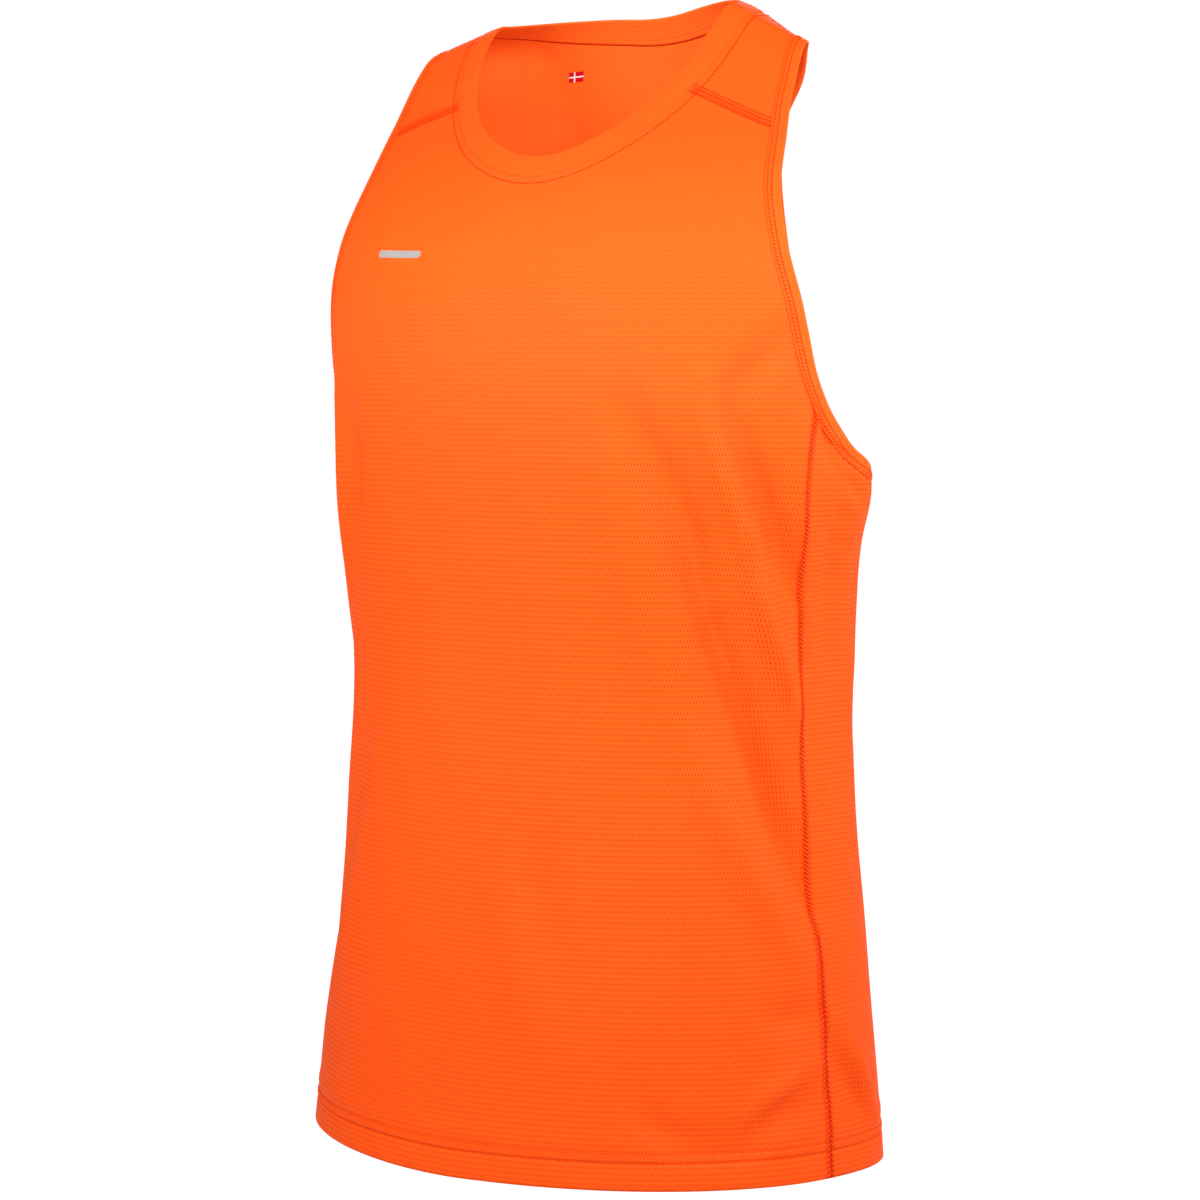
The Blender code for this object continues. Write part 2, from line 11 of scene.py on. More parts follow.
import bpy
import numpy as np
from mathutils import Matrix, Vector
from mathutils.geometry import delaunay_2d_cdt
from mathutils.kdtree import KDTree


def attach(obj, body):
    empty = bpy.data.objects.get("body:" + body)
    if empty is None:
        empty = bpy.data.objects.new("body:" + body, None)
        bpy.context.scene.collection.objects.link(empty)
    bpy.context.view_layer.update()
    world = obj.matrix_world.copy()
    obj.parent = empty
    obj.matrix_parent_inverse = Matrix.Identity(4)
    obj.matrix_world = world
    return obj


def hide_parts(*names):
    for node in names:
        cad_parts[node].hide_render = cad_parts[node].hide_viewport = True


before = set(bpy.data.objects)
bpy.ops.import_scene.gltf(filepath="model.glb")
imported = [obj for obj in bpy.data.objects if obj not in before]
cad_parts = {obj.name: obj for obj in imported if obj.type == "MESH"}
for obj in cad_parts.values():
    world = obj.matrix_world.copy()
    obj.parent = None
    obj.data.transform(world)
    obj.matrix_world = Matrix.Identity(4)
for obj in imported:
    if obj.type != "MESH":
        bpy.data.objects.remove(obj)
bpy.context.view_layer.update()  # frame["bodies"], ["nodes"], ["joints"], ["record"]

print("solids:", ", ".join(sorted(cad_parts)))

# %% [markdown]
# ## The form under the cloth
#
# Every piece of a garment lies on one body shape, so we write that shape once. A spot on it is (turn, run):
# turn is in degrees from the centre line towards the wearer's left, and run is the way down the cloth from the
# top of the shoulders, positive down the front and negative down the back. The table gives how wide and how
# deep the body is at each drop below the shoulder top. Numbers like these could be read off a scanned figure,
# but fourteen rows joined by a smooth curve are enough for a loose top.

# %% The body's sizes
MILLIMETRES, TENTHS = 1000, 10000  # in a metre, and tenths of them
SHOULDER_TOP = 0.018
LENGTH = 0.715
SHOULDER_REACH = 0.200
SHOULDER_RUN = 0.320
RUN_EASE = 1.3
SQUARENESS = 2.25
GIRTH_RADIUS = 0.155
BODY = np.array((
    # in mm: drop, width in front, width behind, depth in front, depth behind
    (0, 192, 192, 80, 92), (25, 195, 172, 80, 92), (60, 198, 150, 82, 92), (100, 196, 136, 89, 94),
    (150, 193, 132, 98, 98), (200, 190, 139, 106, 101), (240, 187, 151, 109, 103), (280, 184, 163, 110, 104),
    (320, 180, 171, 112, 104), (360, 173, 171, 114, 103), (400, 169, 169, 115, 103), (500, 169, 169, 124, 108),
    (620, 178, 178, 141, 117), (720, 186, 186, 153, 128),
)) / MILLIMETRES


def smooth(x, xs, ys):
    """A smooth curve through the rows (xs, ys), read at x."""
    slopes = np.gradient(ys, xs)
    i = np.clip(np.searchsorted(xs, x) - 1, 0, len(xs) - 2)
    width = xs[i + 1] - xs[i]
    t = np.clip((x - xs[i]) / width, 0.0, 1.0)
    start = (2 * t**3 - 3 * t**2 + 1) * ys[i] + (t**3 - 2 * t**2 + t) * width * slopes[i]
    end = (3 * t**2 - 2 * t**3) * ys[i + 1] + (t**3 - t**2) * width * slopes[i + 1]
    return start + end


def ease(share):
    """0 to 1 with soft ends."""
    share = np.clip(share, 0.0, 1.0)
    return share**2 * (3 - 2 * share)


def signed_power(value, power):
    """A power that keeps the sign."""
    return np.sign(value) * np.abs(value) ** power


print(len(BODY), "rows of body sizes, from shoulder to hem")


# %% From a run down the cloth to a drop, and back
def drop_of_run(run):
    """How far below the shoulder top the cloth is, after this run down it."""
    over = 0.5 * np.pi * np.clip(run / SHOULDER_RUN, 0.0, 1.0) ** RUN_EASE
    return SHOULDER_REACH * (1 - np.cos(over)) + np.maximum(run - SHOULDER_RUN, 0.0)


def run_of_drop(drop):
    """The run after which the cloth is this far below the shoulder top."""
    over = np.arccos(np.clip(1 - drop / SHOULDER_REACH, 0.0, 1.0))
    return np.where(drop < SHOULDER_REACH, SHOULDER_RUN * (2 * over / np.pi) ** (1 / RUN_EASE),
                    SHOULDER_RUN + drop - SHOULDER_REACH)


def round_turn(spots):
    """The turn all round the body, 0 at the centre front and 180 at the centre back, and the drop."""
    turn, run = spots[..., 0], spots[..., 1]
    full = np.where(run < 0, np.where(turn < 0, -1, 1) * (180 - np.abs(turn)), turn)
    return full, drop_of_run(np.abs(run))


def pair(first, second):
    """Two columns side by side, such as the turns and the runs of spots."""
    return np.stack([first, second], axis=-1)


HEM_RUN = float(run_of_drop(np.array(LENGTH)))
print("run from shoulder to hem, in mm:", round(1000 * HEM_RUN))


# %% The body itself
def bare_form(spots):
    """Places of the spots, the same on both sides and before the folds."""
    turn, drop = round_turn(spots)
    angle = np.radians(turn)
    up = np.clip(1 - drop / SHOULDER_REACH, 0.0, 1.0)
    out = np.sqrt(1 - up**2)
    wide_front, wide_back, front, back = (smooth(drop, BODY[:, 0], BODY[:, k]) for k in (1, 2, 3, 4))
    half_width = wide_front + (wide_back - wide_front) * ease(-3.0 * np.cos(angle))
    side = signed_power(np.sin(angle), 2 / SQUARENESS)
    ahead = signed_power(np.cos(angle), 2 / SQUARENESS)
    reach_front = front * (0.57 * out + 0.43 * out**2)  # a chest that rounds off towards the shoulders
    sloping = 0.74 * ease((np.abs(side) - 0.46) / 0.30)  # the back slopes away outside the neck
    reach_back = back * ((1 - sloping) * out**0.62 + sloping * out**4)
    shoulders = ease(up)
    x = half_width * side
    y = np.where(ahead > 0, -reach_front * ahead, -reach_back * ahead) + 0.016 * shoulders
    beyond = np.maximum(np.abs(x) - 0.020, 0.0)
    fall = (0.46 * (np.hypot(beyond, 0.050) - 0.050) - 0.0045) * shoulders  # straps fall away from the neck
    return np.stack([x, y, SHOULDER_TOP - drop - fall], axis=-1)


def hang(spots):
    """Places of the spots as the garment hangs: one shoulder higher, the hem askew, the back a little aside."""
    places = bare_form(spots)
    x = places[..., 0]
    turn, drop = round_turn(spots)
    lean = 0.09 * x * np.exp(-((x / 0.100) ** 4)) * ease(1 - drop / SHOULDER_REACH)
    tilt = 0.016 * (np.maximum(-x, 0.0) / 0.180) ** 1.5 * (drop / LENGTH) ** 5
    behind = ease(-2.5 * np.cos(np.radians(turn)))
    drift = 0.011 * behind * ease((drop - 0.02) / 0.05) * ease((0.29 - drop) / 0.06)
    return places + np.stack([-drift, 0 * x, lean + tilt], axis=-1)


def unit(ways):
    """Directions, each a unit long."""
    return ways / np.linalg.norm(ways, axis=-1, keepdims=True)


def slopes_of(place, spots, turn_step=0.05, run_step=0.0001):
    """How a place moves with the turn and with the run."""
    return [(place(spots + small) - place(spots - small)) / (2 * sum(small))
            for small in ((turn_step, 0.0), (0.0, run_step))]


def outward(spots, place=bare_form):
    """The direction straight out of the cloth."""
    by_turn, by_run = slopes_of(place, spots)
    return unit(np.cross(by_run, by_turn))


def step(loop, distance):
    """The spots this far from a loop along the cloth. A loop is its spots and a direction at each."""
    spots, way = loop
    target = bare_form(spots) + way * distance
    moved = spots.copy()
    for _ in range(10):
        by_turn, by_run = slopes_of(bare_form, moved)
        miss = target - bare_form(moved)
        a, b, c = (by_turn**2).sum(-1), (by_turn * by_run).sum(-1), (by_run**2).sum(-1)
        p, q = (by_turn * miss).sum(-1), (by_run * miss).sum(-1)
        change = pair(c * p - b * q, a * q - b * p) / (a * c - b * b)[..., None]
        moved += np.clip(change, (-4.0, -0.012), (4.0, 0.012))
    return moved


ring = bare_form(np.array([(turn, HEM_RUN) for turn in range(0, 91, 2)], dtype=float))
print("a quarter of the hem, in mm:", round(1000 * np.linalg.norm(np.diff(ring, axis=0), axis=1).sum()))

# %% [markdown]
# ## Folds and creases
#
# A light knit hangs in a few long, soft folds that start at the armholes and the bust, and in short creases
# under the arms and above the hem. Cloth simulation would fold it too, but somewhere else. So each fold is
# listed one by one: a line through three spots, a half width, and a height that is under 0 for a trough. A fold
# fades towards its ends, and no two are alike. The hidden sides get folds of the same kind.


# %% The folds and creases, each by three spots, a half width and a height
def fold_table(rows):
    """From degrees and millimetres, three times, and tenths of a millimetre, twice, to degrees and metres."""
    return np.array(rows) / (1, MILLIMETRES, 1, MILLIMETRES, 1, MILLIMETRES, TENTHS, TENTHS)


FOLDS = fold_table((
    # front, wearer's left: long troughs and ridges
    (24, 252, 39, 315, 51, 385, 130, -92), (51, 385, 66, 466, 80, 552, 120, -124),
    (64, 212, 46, 232, 50, 262, 110, -42), (50, 262, 58, 302, 73, 362, 100, -78),
    (42, 238, 45, 290, 56, 326, 110, 64), (56, 326, 65, 380, 76, 432, 100, 84), (22, 290, 33, 385, 44, 448, 180, 48),
    (44, 448, 60, 530, 77, 582, 130, 62), (68, 262, 70, 300, 72, 340, 80, 36),
    # above the hem, and low in front
    (81, 660, 70, 667, 59, 693, 90, -42), (59, 672, 68, 658, 79, 647, 80, 40), (66, 614, 72, 620, 81, 614, 100, -40),
    (33, 650, 38, 698, 60, 690, 100, -40), (9, 520, 13, 555, 18, 605, 140, -32), (2, 518, 7, 565, 14, 640, 140, 24),
    (25, 391, 26, 480, 30, 600, 220, -24),
    # side, behind the seam
    (84, 325, 87, 360, 89, 410, 100, -40), (86, 612, 92, 650, 103, 686, 90, 52), (85, 640, 90, 664, 99, 690, 90, -46),
    (112, 430, 113, 480, 110, 560, 120, -46),
    # front, wearer's right
    (-47, 245, -37, 300, -54, 370, 90, -46), (-58, 250, -49, 310, -64, 390, 100, 39),
    (-40, 430, -50, 520, -62, 620, 180, -48), (-84, 500, -90, 580, -88, 700, 140, -34),
    (-98, 420, -96, 520, -104, 640, 140, 56),
    # the flare under each arm
    (84, 300, 102, 300, 116, 300, 300, 90), (-84, 300, -102, 300, -116, 300, 300, 90),
    # back
    (142, 230, 152, 330, 136, 440, 180, -65), (-140, 240, -150, 350, -138, 470, 200, -59),
    (168, 400, 172, 520, 166, 660, 200, -52), (-164, 460, -168, 560, -162, 690, 180, -56),
    (126, 470, 130, 580, 124, 700, 160, 52), (-122, 500, -126, 600, -120, 700, 160, 56),
))
CREASES = fold_table((
    # sharpening the long folds on the left
    (40, 315, 44, 368, 56, 416, 80, -34), (47, 275, 56, 345, 70, 418, 80, 36), (60, 362, 67, 398, 78, 452, 90, 36),
    # under the wearer's left arm
    (74, 252, 77, 266, 79, 277, 25, -22), (80, 274, 86, 277, 91, 290, 28, -24), (82, 283, 87, 287, 92, 299, 30, 12),
    (76, 271, 78, 280, 83, 290, 40, -20), (86, 295, 89, 301, 92, 308, 40, -26), (82, 311, 86, 317, 90, 323, 50, -20),
    (78, 319, 84, 329, 93, 338, 60, -14), (73, 277, 75, 301, 76, 327, 40, 10), (68, 236, 68, 256, 69, 276, 40, 7),
    (69, 271, 70, 307, 75, 345, 60, 10),
    # down the side, behind the seam
    (78, 361, 81, 386, 84, 412, 50, 14), (83, 425, 84, 440, 85, 450, 50, 12), (86, 462, 90, 490, 90, 516, 60, 14),
    (86, 512, 88, 529, 91, 545, 50, 14), (90, 572, 92, 592, 93, 610, 70, 12), (84, 607, 88, 611, 93, 614, 50, -12),
    (79, 671, 74, 674, 69, 680, 50, -14),
    # under the wearer's right arm and down that side
    (-78, 268, -80, 281, -86, 292, 40, -14), (-88, 297, -92, 304, -95, 312, 40, -12),
    (-80, 322, -87, 333, -95, 341, 60, -14), (-82, 372, -85, 398, -84, 430, 60, 12),
    (-86, 455, -90, 489, -92, 520, 60, 14), (-83, 655, -74, 668, -62, 684, 60, -16),
    (-88, 622, -95, 650, -104, 676, 70, 16),
    # back
    (108, 300, 116, 330, 121, 372, 70, 14), (112, 315, 122, 352, 128, 400, 80, -16),
    (-110, 305, -118, 338, -126, 384, 70, 14), (-114, 322, -124, 356, -127, 410, 80, -14),
    (150, 520, 153, 590, 149, 660, 90, 14), (-146, 560, -150, 610, -145, 672, 90, -14),
    (178, 585, 177, 640, 180, 690, 90, 12),
    # front, faint
    (-6, 600, -9, 640, -7, 682, 100, -9), (-26, 560, -29, 610, -27, 668, 100, 9), (44, 560, 47, 600, 46, 652, 90, -9),
    (-34, 120, -30, 150, -31, 190, 80, 6),
))
print(len(FOLDS), "folds and", len(CREASES), "creases")

# %% How far the folds lift the cloth
WAVES = ((31, 9, 0.4, 0.28), (47, -22, 1.9, 0.20), (83, 35, 4.1, 0.12), (64, 71, 2.6, 0.10), (118, -48, 0.9, 0.07))
FOLD_PARTS = 10


def flat(spots):
    """Turn and run, or turn and drop, as distances, as if the cloth were laid out."""
    return pair(np.radians(spots[..., 0]) * GIRTH_RADIUS, spots[..., 1])


def fold_height(spots, rows):
    """The lift of these folds at the spots: soft across a fold, fading along it."""
    here = flat(pair(*round_turn(spots)))
    lift = np.zeros(here.shape[:-1])
    for *ends, half_width, height in rows:
        first, second, third = flat(np.reshape(ends, (3, 2)))
        shares = np.linspace(0.0, 1.0, FOLD_PARTS + 1)[:, None]
        bend = (1 - shares) ** 2 * first + 2 * shares * (1 - shares) * second + shares**2 * third
        room = 3.0 * half_width
        close = ((here > bend.min(axis=0) - room) & (here < bend.max(axis=0) + room)).all(axis=-1)
        if not close.any():
            continue
        these = here[close]
        nearest = np.full(len(these), np.inf)
        along = np.zeros(len(these))
        for part in range(FOLD_PARTS):
            edge = bend[part + 1] - bend[part]
            share = np.clip((these - bend[part]) @ edge / (edge @ edge), 0.0, 1.0)
            away = np.linalg.norm(these - bend[part] - share[:, None] * edge, axis=1)
            along = np.where(away < nearest, (part + share) / FOLD_PARTS, along)
            nearest = np.minimum(away, nearest)
        full = 0.35 + 0.65 * np.sin(np.pi * along)
        lift[close] += height * full * np.exp(-(nearest / half_width) ** 2)
    return lift


def ripples(spots):
    """A knit never lies quite smooth: waves of a few tenths of a millimetre, all of different lengths."""
    turn, drop = round_turn(spots)
    across = np.radians(turn) * GIRTH_RADIUS
    lift = sum(high * np.sin(a * across + b * drop + at) for a, b, at, high in WAVES)
    return 0.001 * lift * ease((drop - 0.06) / 0.10)


print("deepest fold, in mm:", 1000 * FOLDS[:, -1].min())

# %% [markdown]
# ## The rolled hem
#
# The lower edge is turned in once and sewn with two needles. Between the two rows of stitches the doubled knit
# puffs up into a small roll, and each row sits in a groove. These shapes are about a millimetre high, so they
# are real geometry: a bump map alone would leave the outline straight.

# %% The roll, and the whole surface
HEM_ROWS = (0.0160, 0.0208)
HEM_DEPTH = 0.021
HEM_GROOVES = ((HEM_ROWS[0], -0.0003, 0.0014), (HEM_ROWS[1], -0.0002, 0.0009))  # height, lift, width


def hem_roll(spots):
    """The lift of the roll and its grooves, by the height above the hem's edge."""
    above = LENGTH - round_turn(spots)[1]
    between = np.clip((above - HEM_ROWS[0]) / (HEM_ROWS[1] - HEM_ROWS[0]), 0.0, 1.0)
    roll = 0.0008 * np.sin(np.pi * between**0.85)
    grooves = sum(lift * np.exp(-(((above - row) / width) ** 2)) for row, lift, width in HEM_GROOVES)
    swell = 0.0007 * np.exp(-(((above - 0.0275) / 0.0045) ** 2)) + 0.0004 * ease((HEM_ROWS[0] - above) / 0.004)
    return roll + grooves + swell


def surface(spots):
    """Places on the cloth's outside, with every fold, crease and ripple, and the rolled hem."""
    lift = fold_height(spots, FOLDS) + fold_height(spots, CREASES) + ripples(spots) + hem_roll(spots)
    return hang(spots) + lift[..., None] * outward(spots)


hem_test = np.array([(0.0, HEM_RUN - above) for above in np.linspace(0.012, 0.024, 7)])
print("the roll's lift across it, in mm:", np.round(1000 * hem_roll(hem_test), 2))

# %% [markdown]
# ## The lines a maker would cut and sew
#
# The neck and the armholes are loops on the form, and the seams run between them. The shoulder seam lies in
# front of the shoulder and the side seam forward of the true side, because the back is cut wider than the
# front. We find each line once, evenly spaced, and every piece that meets there uses the same spots. That is
# how two cloths can share an edge with no gap between them.

# %% Round the neck
NECK_HALF_WIDTH = 0.0855
NECK_STEPS = 156
NECKBAND_WIDTH = 0.0155


def lengths_along(points):
    """The length of the line up to each of its points."""
    return np.append(0.0, np.cumsum(np.linalg.norm(np.diff(points, axis=0), axis=1)))


def length_of(spots):
    """The length of a line of spots, before the folds."""
    return float(lengths_along(bare_form(spots))[-1])


def read_at(wanted, lengths, values):
    """Rows of values, read at the wanted lengths along a line."""
    return np.stack([np.interp(wanted, lengths, column) for column in values.T], axis=-1)


def evenly(spots, count, values=None):
    """Rows of values, by default the spots, evenly spaced along the spots' line, without its last."""
    lengths = lengths_along(bare_form(spots))
    return read_at(np.linspace(0.0, lengths[-1], count + 1)[:-1], lengths, spots if values is None else values)


def neck_quarter(depth, power, width, side):
    """A quarter of the neck edge, from the shoulder line to the centre line."""
    swing = np.linspace(0.0, 0.5 * np.pi, 600)
    drop = depth * np.sin(swing) ** power
    share = NECK_HALF_WIDTH * np.cos(swing) / smooth(drop, BODY[:, 0], BODY[:, width])
    return pair(np.degrees(np.arcsin(share ** (SQUARENESS / 2))), side * run_of_drop(drop))


def with_ways(edge):
    """A loop: the spots of an edge, and at each the direction along the cloth, away from the hole."""
    places = bare_form(edge)
    across = unit(np.cross(outward(edge), np.roll(places, -1, axis=0) - np.roll(places, 1, axis=0)))
    return edge, across if ((places - places.mean(axis=0)) * across).sum() > 0 else -across


half = np.concatenate([neck_quarter(0.1017, 1, 1, 1)[::-1], neck_quarter(0.0143, 3.3, 2, -1)[1:]])
neck = with_ways(np.concatenate([evenly(half, NECK_STEPS // 2), evenly(half[::-1], NECK_STEPS // 2) * (-1, 1)]))
print("round the neck edge, in mm:", round(1000 * length_of(neck[0])))

# %% Round the armhole
ARMHOLE_STEPS = 216
BINDING_WIDTH = 0.0105
ARMHOLE = np.array((
    # turn in degrees, drop in mm
    (44.5, 0), (45.8, 20), (46.6, 50), (50.5, 95), (58.5, 147), (67.5, 197), (74.0, 236), (84.5, 268), (97.0, 286),
    (106.0, 280), (112.5, 256), (117.0, 220), (122.5, 165), (124.5, 110), (128.5, 58), (130.8, 40), (133.6, 22),
    (136.0, 8), (135.5, 0),
)) / (1, MILLIMETRES)


def unfold(line):
    """Spots from a turn counted all round and a run that is positive on both sides."""
    turn, run = line[:, 0], line[:, 1]
    behind = np.abs(turn) > 90
    return pair(np.where(behind, np.sign(turn) * (180 - np.abs(turn)), turn), np.where(behind, -run, run))


armhole_knots = pair(ARMHOLE[:, 0], run_of_drop(ARMHOLE[:, 1]))
knot_lengths = lengths_along(flat(armhole_knots))
fine = np.linspace(0.0, knot_lengths[-1], 1200)
armhole_line = pair(*(smooth(fine, knot_lengths, column) for column in armhole_knots.T))
armhole_line[:, 1] = np.maximum(armhole_line[:, 1], 0.0)
armhole = with_ways(unfold(evenly(unfold(armhole_line), ARMHOLE_STEPS, armhole_line)))
print("round the armhole edge, in mm:", round(1000 * length_of(armhole[0])))

# %% Where the seams meet the two loops
SHOULDER_SEAM_DROP = 0.058
TUCK = 0.0015
SIDE_SEAM_DROP = np.array((250, 300, 340, 380, 450, 530, 590, 650, 720)) / MILLIMETRES
SIDE_SEAM_TURN = np.array((73.5, 71.5, 74.0, 76.4, 78.3, 81.0, 83.0, 83.2, 82.3))


def nearest_third(misses):
    """The sample with the smallest miss, of every third one."""
    return 3 * int(np.argmin(np.abs(misses[::3])))


neck_cut = step(neck, NECKBAND_WIDTH - TUCK)
arm_cut = step(armhole, BINDING_WIDTH - TUCK)
half_neck, half_arm = NECK_STEPS // 2, ARMHOLE_STEPS // 2
neck_drop = np.where(neck_cut[:half_neck, 1] > 0, round_turn(neck_cut[:half_neck])[1], np.inf)
arm_turn, arm_drop = (values[:half_arm] for values in round_turn(arm_cut))
neck_corner = nearest_third(neck_drop - SHOULDER_SEAM_DROP)
arm_corner = nearest_third(arm_drop - SHOULDER_SEAM_DROP)
side_corner = nearest_third(arm_turn - smooth(arm_drop, SIDE_SEAM_DROP, SIDE_SEAM_TURN))
print("the seams start at samples", neck_corner, arm_corner, side_corner)

# %% The shoulder seam and the side seam
SPACING = 0.0036
ABOVE_HEM = np.array((0, 20, 50, 90, 120, 140, 152, 160, 168, 178, 188, 198, 208, 218, 235, 260, 290)) / TENTHS


def line_between(start, end):
    """Spots between two ends, evenly spaced, without the ends."""
    length = np.linalg.norm(bare_form(end) - bare_form(start))
    shares = np.linspace(0.0, 1.0, max(2, round(length / SPACING)) + 1)[1:-1]
    return start + shares[:, None] * (end - start)


def as_back(spots):
    """Spots counted as on the front, counted as on the back."""
    return pair(180 - spots[:, 0], -spots[:, 1])


neck_end, arm_end = neck_cut[neck_corner], arm_cut[arm_corner]
shoulder = np.concatenate([[neck_end], line_between(neck_end, arm_end), [arm_end]])
top_turn, top_run = arm_cut[side_corner]
top_drop, low_drops = drop_of_run(top_run), LENGTH - ABOVE_HEM[::-1]
high_drops = np.linspace(top_drop, low_drops[0], round((low_drops[0] - top_drop) / SPACING))
side_drop = np.concatenate([high_drops[:-1], low_drops])
side_turn = smooth(side_drop, SIDE_SEAM_DROP, SIDE_SEAM_TURN)
side_turn += (top_turn - side_turn[0]) * np.exp(-(side_drop - side_drop[0]) / 0.030)
side = pair(side_turn, run_of_drop(side_drop))
print("shoulder seam and side seam, in mm:", *(round(1000 * length_of(seam)) for seam in (shoulder, side)))

# %% [markdown]
# ## Cutting the panels
#
# A panel starts as its outline in flat coordinates. Points are strewn inside it in staggered rows, as in a
# honeycomb, because triangles that are nearly even bend softly in every direction. Near the hem the rows are
# a millimetre apart and the points stand in straight columns, so that the roll keeps its shape. A constrained
# Delaunay triangulation joins them all. A subdivided plane cut to the outline would do too, but it leaves
# ragged edges.


# %% The points of a panel
def depth_in(points, outline):
    """How far each point lies inside the closed outline, and 0 outside it."""
    within, nearest = np.zeros(len(points), dtype=bool), np.full(len(points), np.inf)
    for start, end in zip(outline, np.roll(outline, -1, axis=0)):
        edge = end - start
        share = np.clip(((points - start) @ edge) / max(edge @ edge, 1e-12), 0.0, 1.0)
        nearest = np.minimum(nearest, np.linalg.norm(points - start - share[:, None] * edge, axis=1))
        if edge[1] != 0:
            crosses = (start[1] > points[:, 1]) != (end[1] > points[:, 1])
            within ^= crosses & (points[:, 0] < edge[0] * (points[:, 1] - start[1]) / edge[1] + start[0])
    return within * nearest


def strew(border, columns, way):
    """Points inside a border: staggered rows, and straight columns near the hem. way is 1 in front."""
    low, high = border.min(axis=0), border.max(axis=0)
    points = np.array([(x, run) for k, run in enumerate(np.arange(low[1], high[1], SPACING * 0.866))
                       for x in np.arange(SPACING * (0.5 + 0.5 * (k % 2)), high[0], SPACING)])
    points = points[np.abs(points[:, 1]) < HEM_RUN - ABOVE_HEM[-1] - 0.4 * SPACING]
    block = np.stack(np.meshgrid(columns, way * (HEM_RUN - ABOVE_HEM[1:])), axis=-1).reshape(-1, 2)
    return np.concatenate([group[depth_in(group, border) > room * SPACING]
                           for group, room in ((points, 0.45), (block, 0.35))])


print("spacing of the points in mm:", 1000 * SPACING)


# %% A panel's spots and triangles
def cut_panel(half_outline, hem_columns, way):
    """Spots and triangles of a panel, from the outline of its left half."""
    first_run = half_outline[0, 1] * way + SPACING
    centre_runs = np.concatenate([np.arange(first_run, HEM_RUN - ABOVE_HEM[-1] - SPACING / 2, SPACING),
                                  HEM_RUN - ABOVE_HEM[:0:-1]])[::-1] * way
    border = flat(np.concatenate([half_outline, pair(np.zeros(len(centre_runs)), centre_runs)]))
    points = np.concatenate([border, strew(border, np.radians(hem_columns) * GIRTH_RADIUS, way)])
    edges = [(i, (i + 1) % len(border)) for i in range(len(border))]
    vertices, _, faces, *_ = delaunay_2d_cdt([Vector(p) for p in points], edges, [], 1, 1e-6)
    found = np.array([tuple(vertex) for vertex in vertices])
    off_centre = np.flatnonzero(found[:, 0] > 1e-6)
    mirrored = np.arange(len(found))
    mirrored[off_centre] = len(found) + np.arange(len(off_centre))
    faces = [tuple(face) for face in faces] + [tuple(int(mirrored[i]) for i in reversed(face)) for face in faces]
    found = np.concatenate([found, found[off_centre] * (-1, 1)])
    return pair(np.degrees(found[:, 0] / GIRTH_RADIUS), found[:, 1]), faces


front_centre, back_centre = np.array((0.0, HEM_RUN)), np.array((0.0, -HEM_RUN))
front_hem = line_between(side[-1], front_centre)
back_hem = line_between(as_back(side)[-1], back_centre)
front_outline = np.concatenate([neck_cut[:neck_corner], shoulder, arm_cut[arm_corner + 1:side_corner], side,
                                front_hem, [front_centre]])
under_and_back = arm_cut[side_corner + 1:]
still_front = (under_and_back[:, :1] > 60) & (under_and_back[:, 1:] > 0)
under_and_back = np.where(still_front, as_back(under_and_back), under_and_back)
back_outline = np.concatenate([neck_cut[neck_corner + 1:half_neck + 1][::-1], shoulder, arm_cut[:arm_corner][::-1],
                               under_and_back[::-1], as_back(side), back_hem, [back_centre]])
front_spots, front_faces = cut_panel(front_outline, front_hem[:, 0], 1)
back_spots, back_faces = cut_panel(back_outline, back_hem[:, 0], -1)
print("triangles on one side of the front and of the back:", len(front_faces), len(back_faces))

# %% [markdown]
# ## Flat coordinates for the knit
#
# A knit's rows and holes follow the cloth, not the room, so the panels need a UV map in true millimetres. We
# measure how far the cloth runs from the centre line to each spot, and how far down it, on a fine grid over the
# form, and read that grid at the mesh's spots. Unwrapping the mesh would stretch the pattern where it bends.


# %% A UV map in metres
def measure(spots):
    """For each spot, metres from the centre line along the ring, and metres down the cloth."""
    turns = np.linspace(0.0, 116.0, 117)
    runs = np.linspace(spots[:, 1].min() - 0.004, spots[:, 1].max() + 0.004, 220)
    places = bare_form(np.stack(np.meshgrid(turns, runs, indexing="ij"), axis=-1))
    across, down = np.zeros(places.shape[:2]), np.zeros(places.shape[:2])
    across[1:] = np.cumsum(np.linalg.norm(np.diff(places, axis=0), axis=-1), axis=0)
    down[:, 1:] = np.cumsum(np.linalg.norm(np.diff(places, axis=1), axis=-1), axis=1)
    down -= down[:, [int(np.argmin(np.abs(np.abs(runs) - 0.40)))]]
    i = np.interp(np.abs(spots[:, 0]), turns, np.arange(117.0))
    j = np.interp(spots[:, 1], runs, np.arange(220.0))
    i0, j0 = np.minimum(i.astype(int), 115), np.minimum(j.astype(int), 218)
    s, t = i - i0, j - j0
    from_centre, from_top = ((1 - s) * (1 - t) * g[i0, j0] + s * (1 - t) * g[i0 + 1, j0]
                             + (1 - s) * t * g[i0, j0 + 1] + s * t * g[i0 + 1, j0 + 1] for g in (across, down))
    return pair(np.where(spots[:, 0] < 0, -1, 1) * from_centre, from_top)


front_flat, back_flat = measure(front_spots), measure(back_spots)
for name, laid in (("front", front_flat), ("back", back_flat)):
    print(name, "panel laid flat, in mm:", *np.round(1000 * np.ptp(laid, axis=0)))

# %% How far each spot is from a seam
SEAM_LINES = {
    "from_neck": step(neck, NECKBAND_WIDTH)[:half_neck + 1],
    "from_arm": step(armhole, BINDING_WIDTH),
    "from_side": side,
    "from_shoulder": shoulder,
}


